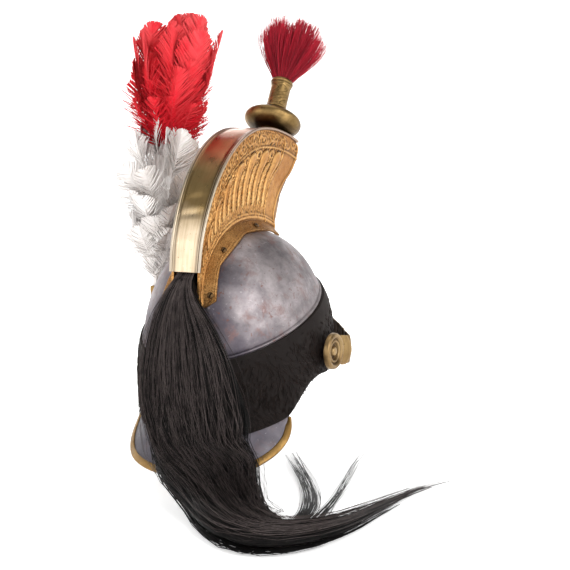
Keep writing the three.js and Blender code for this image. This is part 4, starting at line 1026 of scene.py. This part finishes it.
def makeChinScales():
    u = np.linspace(-1, 1, scales["across"])[None, :]
    v = np.linspace(0, 1, scales["along"])[:, None]
    sides = {mirror: [] for mirror in bothSides.values()}
    for item in range(scales["count"]):
        step = 1 / scales["count"]
        tail = item * step
        share = np.clip(tail + step * (0.02 + 1.32 * v * (1 - 0.2 * u ** 2)), 0, 1)
        share = np.minimum(share, 1.0 - 0.004 * (1 - v))
        middle = scalePlace(share)
        along = unit(scalePlace(np.minimum(share + 0.01, 1)) - scalePlace(np.maximum(share - 0.01, 0)))
        flatOut = unit(middle * (1, 1, 0))
        up = unit(np.cross(flatOut, along))
        up = up * np.sign(up[..., 2:])
        out = unit(np.cross(along, up))
        out = out * np.sign(np.sum(out * flatOut, -1, keepdims=True))
        half = (scales["startWidth"] + (scales["endWidth"] - scales["startWidth"]) * share) / 2
        rise = scales["thick"] + scales["lift"] * v * (1 - 0.85 * np.abs(u) ** 3)
        rise = rise + scales["crown"] * (1 - u ** 2)
        rise = rise + 0.5 * mm * hump(v, 0.86, 0.07) + 0.4 * mm * hump(np.abs(u), 0.9, 0.07)
        outer = middle + up * (u * half)[..., None] + out * rise[..., None]
        inner = outer - out * scales["thick"]
        # Darker where each plate comes out from under the one before it: painted shade; also a dark line
        # before the raised rim, and darker backs
        dark = 0.75 * smoothStep(0.4, 0.16, v) + 0.3 * hump(v, 0.74, 0.06) + 0 * u
        for mirror, parts in sides.items():
            points, faces = plateArrays(outer * (mirror, 1, 1), inner * (mirror, 1, 1))
            parts.append((points, faces, np.concatenate([dark, 0.9 + 0 * dark], 1).ravel()))
    for side, mirror in bothSides.items():
        points, faces, dark, start = [], [], [], 0
        for part, quads, shade in sides[mirror]:
            faces += [[k + start for k in face] for face in quads]
            points.append(part)
            dark.append(shade)
            start += len(part)
        shades = {"hollow": np.concatenate(dark)}
        made = meshObject("chinScales" + side, np.vstack(points), faces, finishes["scale"], 50, shades)
        putOn(made, "smooth_brass", "chin_scales_" + side.lower())


# Plume: socket, then feathers made of a quill and flat barbs

socket = {"x": 112 * mm, "y": -9 * mm, "bottomZ": 65.15 * mm, "height": 38 * mm, "radius": 6 * mm,
          "sides": 48}
plume = {"foot": (112 * mm, -9 * mm, 103.5 * mm), "top": (92 * mm, -44 * mm, 412 * mm), "fullDeg": 28,
         "stagger": 9}
plumeFoot, plumeTop = np.array(plume["foot"]), np.array(plume["top"])
plumeUp = unit(plumeTop - plumeFoot)


def onPlume(z):
    return plumeFoot + (plumeTop - plumeFoot) * ((z - plumeFoot[2]) / (plumeTop[2] - plumeFoot[2]))


def makeSocket():
    low, tall, r = socket["bottomZ"], socket["height"], socket["radius"]
    high = low + tall
    profile = [(0.3 * mm, low), (r * 0.8, low), (r * 0.97, low + 1 * mm), (r, low + 2 * mm),
               (r, low + 5 * mm), (r * 0.88, low + 6 * mm), (r * 0.88, low + tall * 0.8),
               (r, low + tall * 0.83), (r, low + tall * 0.97), (r * 0.94, high), (r * 0.74, high),
               (r * 0.7, high - 5 * mm), (0.3 * mm, high - 5 * mm)]
    origin = (socket["x"], socket["y"], 0)
    points, faces = turnedArrays(softProfile(profile, 2), socket["sides"], origin, (0, 0, 1))
    made = meshObject("plumeSocket", points, faces, finishes["trim"], 45)
    putOn(made, "smooth_brass", "plume_socket")


# Half width of a vane along the quill, as a share of its widest place
def vaneOutline(share):
    rounded = (1 - np.clip((share - 0.42) / 0.58, 0, 1) ** 2.7) ** (1 / 2.2)
    return smoothStep(-0.05, 0.34, share) ** 0.8 * rounded


# One feather: rows of barbs on both sides of a bent quill; downy near its root
def feather(root, deg, reach, rise, width, barbs, droop, down, tint, twist):
    turn = math.radians(deg)
    outward = np.array([math.cos(turn), math.sin(turn), 0])
    around = np.array([-math.sin(turn), math.cos(turn), 0])
    spots = [root, root + outward * reach * 0.72 + plumeUp * rise * 0.26,
             root + outward * reach * 1.02 + plumeUp * rise * 0.68,
             root + outward * reach * (1.0 + droop) + plumeUp * rise * (1 - 0.3 * droop)]

    def quillAt(t):
        t = np.clip(t, 0, 1)[..., None]
        a, b, c, d = spots
        return a * (1 - t) ** 3 + 3 * b * t * (1 - t) ** 2 + 3 * c * t ** 2 * (1 - t) + d * t ** 3

    place = np.linspace(0.03, 0.99, barbs) + chance.normal(0, 0.2 / barbs, barbs)
    place = np.clip(place, 0.02, 0.995)
    soft = smoothStep(down + 0.14, down - 0.14, place)[:, None]
    lines, thick, shade, facing = [], [], [], []
    s = np.linspace(0, 1, 4)[None, :, None]
    for side in (-1, 1):
        aim = place + 0.58 * (1 - place) ** 0.8 * (0.45 + 0.55 * place)
        along = unit(quillAt(aim + 0.02) - quillAt(aim - 0.02))
        normal = unit(np.cross(np.broadcast_to(around, along.shape), along))
        normal = normal * np.sign(np.sum(normal * outward, -1, keepdims=True) + 1e-9)
        across = np.cross(along, normal)
        spin = twist + chance.normal(0, 0.025, (barbs, 1))
        turned = across * np.cos(spin) + normal * np.sin(spin)
        normal = normal * np.cos(spin) - across * np.sin(spin)
        across = turned
        split = np.maximum(np.sin(place * chance.uniform(14, 26) + chance.uniform(0, tau)), 0)[:, None] ** 8
        half = width * vaneOutline(aim)[:, None] * (1 - 0.3 * split + chance.normal(0, 0.07, (barbs, 1)))
        start = quillAt(place)
        tip = quillAt(aim) + across * side * half - normal * half * 0.26
        tip = tip + soft * np.clip(chance.normal(0, 0.3, (barbs, 3)), -0.45, 0.45) * half
        bow = along * half * 0.05 - normal * half * 0.06
        lines.append(start[:, None] + (tip - start)[:, None] * s - bow[:, None] * np.sin(np.pi * s))
        thick.append((1.5 - 0.75 * soft) * mm * (1 - (0.35 + 0.35 * soft) * s[0, :, 0] ** 2))
        tone = tint + chance.normal(0, 0.07, (barbs, 1)) + 0.5 * (place[:, None] - 0.55) + 0.1 * s[0, :, 0]
        shade.append(np.clip(tone, 0, 1))
        facing.append(normal)
    vanes = {"lines": np.concatenate(lines), "facing": np.concatenate(facing)[:, None],
             "thickness": np.concatenate(thick), "shade": np.concatenate(shade)}
    t = np.linspace(0, 0.97, 10)
    stem = {"lines": quillAt(t)[None] + outward * 0.5 * mm, "facing": outward,
            "thickness": (0.8 - 0.6 * t)[None] * mm, "shade": np.full((1, len(t)), min(tint + 0.4, 1))}
    return [vanes, stem]


# Rings of feathers: height of the roots, feathers, first angle, reach, rise, half width, barbs a side,
# droop, downy share and tint
ringNames = ("z", "count", "startDeg", "reach", "rise", "width", "barbs", "droop", "down", "tint")
redRings = [
    (254, 11, 10, 34, 66, 18, 46, 0.2, 0.75, 0.05),
    (266, 9, 30, 42, 92, 23, 64, 0.1, 0.5, 0.2),
    (282, 8, 28, 46, 110, 27, 76, 0.1, 0.42, 0.42),
    (290, 6, 40, 27, 114, 27, 78, 0.1, 0.36, 0.55),
    (300, 3, 90, 10, 104, 25, 74, 0.0, 0.3, 0.55),
]
whiteRings = [
    (118, 7, 15, 13, 40, 13, 38, 0.3, 0.4, 0.5),
    (136, 12, 35, 26, 46, 18, 42, 0.35, 0.4, 0.5),
    (158, 11, 0, 34, 52, 17, 40, 0.3, 0.5, 0.5),
    (182, 11, 20, 37, 56, 18, 42, 0.28, 0.5, 0.55),
    (206, 10, 5, 33, 70, 18, 46, 0.15, 0.5, 0.6),
    (220, 5, 60, 20, 68, 17, 46, 0.1, 0.5, 0.6),
]
# Cores inside the plumes, a darker tone than their feathers: painted shade in the gaps between the feathers
plumeCores = {
    "rows": 40, "sides": 26,
    "red": {"z": (262, 276, 300, 340, 376, 392), "radius": (9, 17, 21, 20, 13, 2), "shade": 0.12},
    "white": {"z": (103.8, 122, 152, 200, 246, 266), "radius": (3, 3.5, 10, 16, 15, 8), "shade": 0.4},
}


def plumeCore(name, core, finish):
    rows, sides = plumeCores["rows"], plumeCores["sides"]
    z = np.linspace(core["z"][0], core["z"][-1], rows)[:, None]
    radius = np.interp(z, core["z"], core["radius"]) * mm
    turn = np.linspace(0, tau, sides, endpoint=False)[None, :]
    radius = radius * (1 + 0.12 * np.sin(5 * turn + z * 0.09) + 0.08 * np.sin(9 * turn - z * 0.17))
    ring = np.stack([radius * np.cos(turn), radius * np.sin(turn), 0 * radius], -1)
    shade = {"shade": np.full(rows * sides, core["shade"])}
    return meshObject(name, onPlume(z * mm)[:, None] + ring, loftFaces(rows, sides), finish, 70, shade)


def makePlumeHalf(name, rings, colour, slotName, node, fuller):
    batches = []
    for row in rings:
        ring = dict(zip(ringNames, row))
        for k in range(ring["count"]):
            deg = ring["startDeg"] + 360 * k / ring["count"] + chance.uniform(-14, 14)
            full = 1 + fuller * math.cos(math.radians(deg - plume["fullDeg"]))
            root = onPlume((ring["z"] + chance.uniform(-plume["stagger"], plume["stagger"])) * mm)
            reach = ring["reach"] * mm * full * chance.uniform(0.86, 1.1)
            rise = ring["rise"] * mm * (0.5 + 0.5 * full) * chance.uniform(0.92, 1.06)
            width = ring["width"] * mm * chance.uniform(0.9, 1.1)
            droop = ring["droop"] * chance.uniform(0.6, 1.5)
            tint = np.clip(ring["tint"] + chance.normal(0, 0.13), 0, 0.9)
            twist = chance.normal(0, 0.72)
            batches += feather(root, deg, reach, rise, width, ring["barbs"], droop, ring["down"], tint, twist)
    core = plumeCore(name + "Core", plumeCores[colour], finishes[colour])
    made = strandObject(name + "Vanes", batches, finishes[colour], 3, 0.18)
    putOn(joined(name, core, made), slotName, node)


# Mane: a dark core with long hairs in locks

maneRoute = [  # x, y, z, half width, half depth in mm, share that drapes over the skull
    (0, 97, 129, 9.5, 4.5, 0), (0, 107.5, 120, 11, 5, 0), (0, 114.5, 104, 21, 6.5, 1),
    (-3, 119.5, 86, 33, 8, 1), (-9, 128.7, 52, 46, 9, 1), (-13, 131.7, 15, 51, 9, 1),
    (-18, 131.5, -14, 51, 9, 1), (-25, 133.5, -36, 44, 9, 1), (-44, 141, -58, 39, 9, 0.9),
    (-75, 166, -73, 31, 10, 0.3), (-114, 206, -78.5, 31, 10, 0), (-154, 229, -80, 34, 9.5, 0),
    (-185, 205, -81, 21, 8, 0), (-200, 155, -83, 15, 6, 0), (-203, 90, -85, 10, 4, 0),
    (-212, 0, -87, 5.5, 2.4, 0), (-232, -58, -88.4, 2.4, 1.4, 0),
]
maneColumns = np.array(maneRoute, float).T
mane = {
    "coreEnd": 0.76, "coreRows": 90, "coreSides": 28, "locks": 44, "hairsPerLock": 36, "points": 24,
    "thick": 0.42 * mm, "floorZ": -89.2 * mm, "flyaways": 230, "sideRoot": (-176, 212, -82), "sideZ": -86.5,
}
sideLocks = [  # hairs, spread at the root and the tip, route on the ground
    {"hairs": 34, "root": 3.6, "tip": 1.5,
     "route": [(-154, 159), (-143, 119), (-121, 73), (-87, 19), (-51, -31), (-19, -75)]},
    {"hairs": 30, "root": 3.6, "tip": 1.5,
     "route": [(-158, 158), (-151, 122), (-135, 82), (-109, 39), (-65, -24), (-23, -83)]},
    {"hairs": 18, "root": 2.6, "tip": 1.2,
     "route": [(-169, 155), (-163, 123), (-156, 86), (-135, 12), (-113, -64), (-99, -118)]},
    {"hairs": 14, "root": 3.0, "tip": 2.2,
     "route": [(-172, 154), (-164, 116), (-154, 79), (-145, 40), (-136, 2)]},
]


def smoothTable(values, share):
    knots = np.linspace(0, 1, len(values))
    fine = np.linspace(0, 1, 641)
    line = np.interp(fine, knots, values)
    window = np.hanning(61) / np.hanning(61).sum()
    padded = np.concatenate([2 * line[0] - line[30:0:-1], line, 2 * line[-1] - line[-2:-32:-1]])
    return np.interp(share, fine, np.convolve(padded, window, mode="valid"))


def backDepth(x):
    side = np.clip(np.abs(x) / (skull["halfWidth"] + 14 * mm), 0, 0.99)
    return (skull["halfLength"] + 14 * mm) * np.sqrt(1 - side ** 2)


# Point of the mane at a share of its length, across its width (-1 to 1) and through its depth (-1 to 1)
def manePoint(share, across, through):
    share, across, through = np.broadcast_arrays(share, across, through)
    x, y, z, wide, deep, drape = [smoothTable(column, share) for column in maneColumns]
    route = np.stack([x, y, z], -1) * mm
    fine = np.linspace(0, 1, 400)
    line = np.stack([smoothTable(column, fine) for column in maneColumns[:3]], -1)
    tangent = unit(np.gradient(line, axis=0))
    along = unit(np.stack([np.interp(share, fine, tangent[:, k]) for k in range(3)], -1))
    lying = smoothStep(0.4, 0.6, share)[..., None]
    side = unit(np.array([-1.0, 0, 0]) * (1 - lying) + unit(np.cross([0, 0, 1.0], along)) * lying)
    out = unit(np.cross(along, side))
    offset = across * wide * mm
    point = route + side * offset[..., None] + out * (through * deep * mm)[..., None]
    fall = drape * (backDepth(route[..., 0] + offset * side[..., 0]) - backDepth(route[..., 0]))
    point[..., 1] = point[..., 1] + fall
    return point, out


def makeMane():
    rows, sides = mane["coreRows"], mane["coreSides"]
    share = np.linspace(0.0, mane["coreEnd"], rows)[:, None]
    ring = np.linspace(0, tau, sides, endpoint=False)[None, :]
    body, _ = manePoint(share, 0.78 * np.cos(ring), 0.62 * np.sin(ring))
    body[..., 2] = np.maximum(body[..., 2], mane["floorZ"] + 0.6 * mm)
    shade = {"shade": np.full(rows * sides, 0.02)}
    core = meshObject("maneCore", body, loftFaces(rows, sides), finishes["hair"], 60, shade)
    batches = []
    t = np.linspace(0, 1, mane["points"])[None, :]
    for lock in range(mane["locks"]):
        count = mane["hairsPerLock"]
        seat = -0.92 + 1.84 * (lock + 0.5) / mane["locks"] + chance.normal(0, 0.03)
        depth = 0.55 + 0.35 * chance.uniform(-1, 1)
        depth = depth * (1 if lock % 4 else -1)
        lengthShare = np.clip(1 - 0.12 * abs(seat) - abs(chance.normal(0, 0.06)), 0.78, 1.0)
        ends = lengthShare * chance.uniform(0.7, 1.0, (count, 1)) ** 0.6
        run = t ** 0.92 * ends
        phase, waves = chance.uniform(0, tau), chance.uniform(2.0, 4.5)
        sway = 0.1 * (1 - 0.8 * seat ** 2) * np.sin(run * tau * waves + phase) * smoothStep(0.12, 0.35, run)
        clump = 1 - 0.45 * smoothStep(0.35, 0.8, run)
        across = seat + sway + chance.normal(0, 0.075, (count, 1)) * clump
        across = across + chance.normal(0, 0.05, (count, 1)) * t ** 2
        through = depth + chance.normal(0, 0.16, (count, 1)) * clump
        through = through + 0.16 * np.sin(run * tau * waves * 0.8 + phase * 2)
        line, out = manePoint(run, across, np.clip(through, -0.95, 1.2))
        line[..., 2] = np.maximum(line[..., 2], mane["floorZ"] + 0.4 * mm)
        shade = chance.normal(-0.02, 0.1, (count, 1)) + 0.04 * chance.normal()
        shade = np.clip(shade + 0.03 * np.sin(run * 40 + phase), 0, 1)
        thick = mane["thick"] * chance.uniform(0.7, 1.25, (count, 1)) * (1 - 0.6 * smoothStep(0.8, 1.0, t))
        batches.append({"lines": line, "facing": out, "shade": shade, "thickness": thick})
    count = mane["flyaways"]
    ends = chance.uniform(0.35, 0.98, (count, 1))
    run = t * ends
    stray = chance.normal(0, 0.3, (count, 1)) * t ** 2
    stray = stray + 0.16 * np.sin(run * 17 + chance.uniform(0, tau, (count, 1))) * t
    seat = np.clip(chance.uniform(-1, 1, (count, 1)) + stray, -1.15, 1.15)
    line, out = manePoint(run, seat, 1.15 + 0.35 * t * chance.normal(0, 1, (count, 1)))
    line[..., 2] = np.maximum(line[..., 2], mane["floorZ"] + 0.3 * mm)
    batches.append({"lines": line, "facing": out, "shade": chance.uniform(0.4, 1.0, (count, 1)) + 0 * t,
                    "thickness": 0.24 * mm * (1 - 0.5 * t)})
    for lock in sideLocks:
        count = lock["hairs"]
        spots = [mane["sideRoot"]] + [(x, y, mane["sideZ"]) for x, y in lock["route"]]
        route = curveThrough(np.array(spots) * mm)
        run = t * chance.uniform(0.7, 1.0, (count, 1))
        heading = unit(route(np.minimum(run + 0.02, 1)) - route(np.maximum(run - 0.02, 0)))
        side = unit(np.cross(np.array([0, 0, 1.0]), heading))
        wide = chance.normal(0, 1, (count, 1)) * (lock["root"] + (lock["tip"] - lock["root"]) * t)
        wide = wide + 1.4 * t * np.sin(run * 8 + chance.uniform(0, tau, (count, 1)))
        line = route(run) + side * wide[..., None] * mm
        rise = chance.normal(0, 1.2, (count, 1)) * mm
        line[..., 2] = np.maximum(line[..., 2] + rise, mane["floorZ"] + 0.3 * mm)
        batches.append({"lines": line, "facing": np.array([0, 0, 1.0]),
                        "shade": chance.uniform(0.0, 0.15, (count, 1)) + 0 * t,
                        "thickness": 0.42 * mm * (1 - 0.6 * t)})
    under = strandObject("maneUnder", batches[0::2], finishes["hair"])
    over = strandObject("maneOver", batches[1::2], finishes["hair"])
    putOn(joined("maneHair", core, under), "hair", "mane")
    putOn(over, "hair", "mane")


makeSkull()
makeTurban()
for peakName, peakSizes in peaks.items():
    makePeak(peakName, peakSizes)
print("skull, fur and peaks made")
makeCrestSides()
makeBand()
makeFrontStrip()
makeScrews()
makeFinial()
makeTuft()
print("crest and finial made")
makeBosses()
makeChinScales()
makeSocket()
print("fittings made")
makePlumeHalf("plumeRed", redRings, "red", "red_feather", "plume_red", 0.12)
makePlumeHalf("plumeWhite", whiteRings, "white", "white_feather", "plume_white", 0.14)
makeMane()
print("feathers and hair made")


# Studio: a white floor that bends up into a round wall, soft lights and the photograph's camera

studio = {"floorZ": -90 * mm, "flat": 2.4, "bend": 1.2, "wall": 2.2, "sides": 72, "aim": (0, 0, 0.12)}
lights = {
    "key": {"place": (-1.75, 0.75, 1.15), "size": 1.5, "power": 20},
    "fill": {"place": (0.9, 1.7, 0.8), "size": 1.6, "power": 7},
    "top": {"place": (0.2, -0.3, 2.2), "size": 1.6, "power": 13},
    "far": {"place": (1.2, -1.6, 1.0), "size": 1.4, "power": 9},
}


def makeStudio():
    f = Finish("studioWhite", Roughness=0.9)
    paper = f.blend(f.span(f.noise(9, 3), 0.3, 0.7, 0.0, 1.0), rgb(247, 247, 247), rgb(250, 250, 250))
    f.to("Base Color", paper)
    f.shader.inputs["Specular IOR Level"].default_value = 0.1
    f.shader.inputs["Emission Color"].default_value = (1, 1, 1, 1)
    f.shader.inputs["Emission Strength"].default_value = 0.5
    bend = np.radians(np.linspace(0, 90, 14))
    profile = [(0.02, 0), (0.4, 0), (1.0, 0), (1.7, 0)]
    flat, curve = studio["flat"], studio["bend"]
    profile += [(flat + curve * math.sin(a), curve * (1 - math.cos(a))) for a in bend]
    profile += [(flat + curve, studio["wall"])]
    radius, height = np.array(profile).T
    turn = np.linspace(0, tau, studio["sides"], endpoint=False)
    x, y = radius[:, None] * np.cos(turn), radius[:, None] * np.sin(turn)
    points = np.stack([x, y, height[:, None] + studio["floorZ"] + 0 * x], -1)
    faces = gridFaces(len(profile), studio["sides"], ringColumns=True) + [list(range(studio["sides"]))]
    floor = meshObject("studioFloor", points, faces, f.material, 60)
    for name, light in lights.items():
        lamp = bpy.data.lights.new(name + "Light", "AREA")
        lamp.shape = "DISK"
        lamp.size = light["size"]
        lamp.energy = light["power"]
        made = bpy.data.objects.new(name + "Light", lamp)
        made.location = light["place"]
        made.rotation_euler = (Vector(studio["aim"]) - made.location).to_track_quat("-Z", "Y").to_euler()
        bpy.context.scene.collection.objects.link(made)
    world = bpy.data.worlds.new("studioWorld")
    world.use_nodes = True
    sky = world.node_tree.nodes["Background"]
    sky.inputs["Color"].default_value = (1.0, 0.99, 0.97, 1)
    sky.inputs["Strength"].default_value = 0.4
    bpy.context.scene.world = world
    bpy.context.scene.view_settings.view_transform = "Standard"


photoCamera = {"place": (-0.65056, 1.11424, 0.24965), "downDeg": 6.164, "turnDeg": 208,
               "lens": 76.02, "sensor": 36}


def makeCamera():
    lens = bpy.data.cameras.new("photoCamera")
    lens.lens = photoCamera["lens"]
    lens.sensor_width = photoCamera["sensor"]
    lens.clip_start = 0.05
    made = bpy.data.objects.new("photoCamera", lens)
    made.location = photoCamera["place"]
    made.rotation_euler = (math.radians(90 - photoCamera["downDeg"]), 0, math.radians(photoCamera["turnDeg"]))
    bpy.context.scene.collection.objects.link(made)
    bpy.context.scene.camera = made


makeStudio()
makeCamera()
print("studio and camera made")
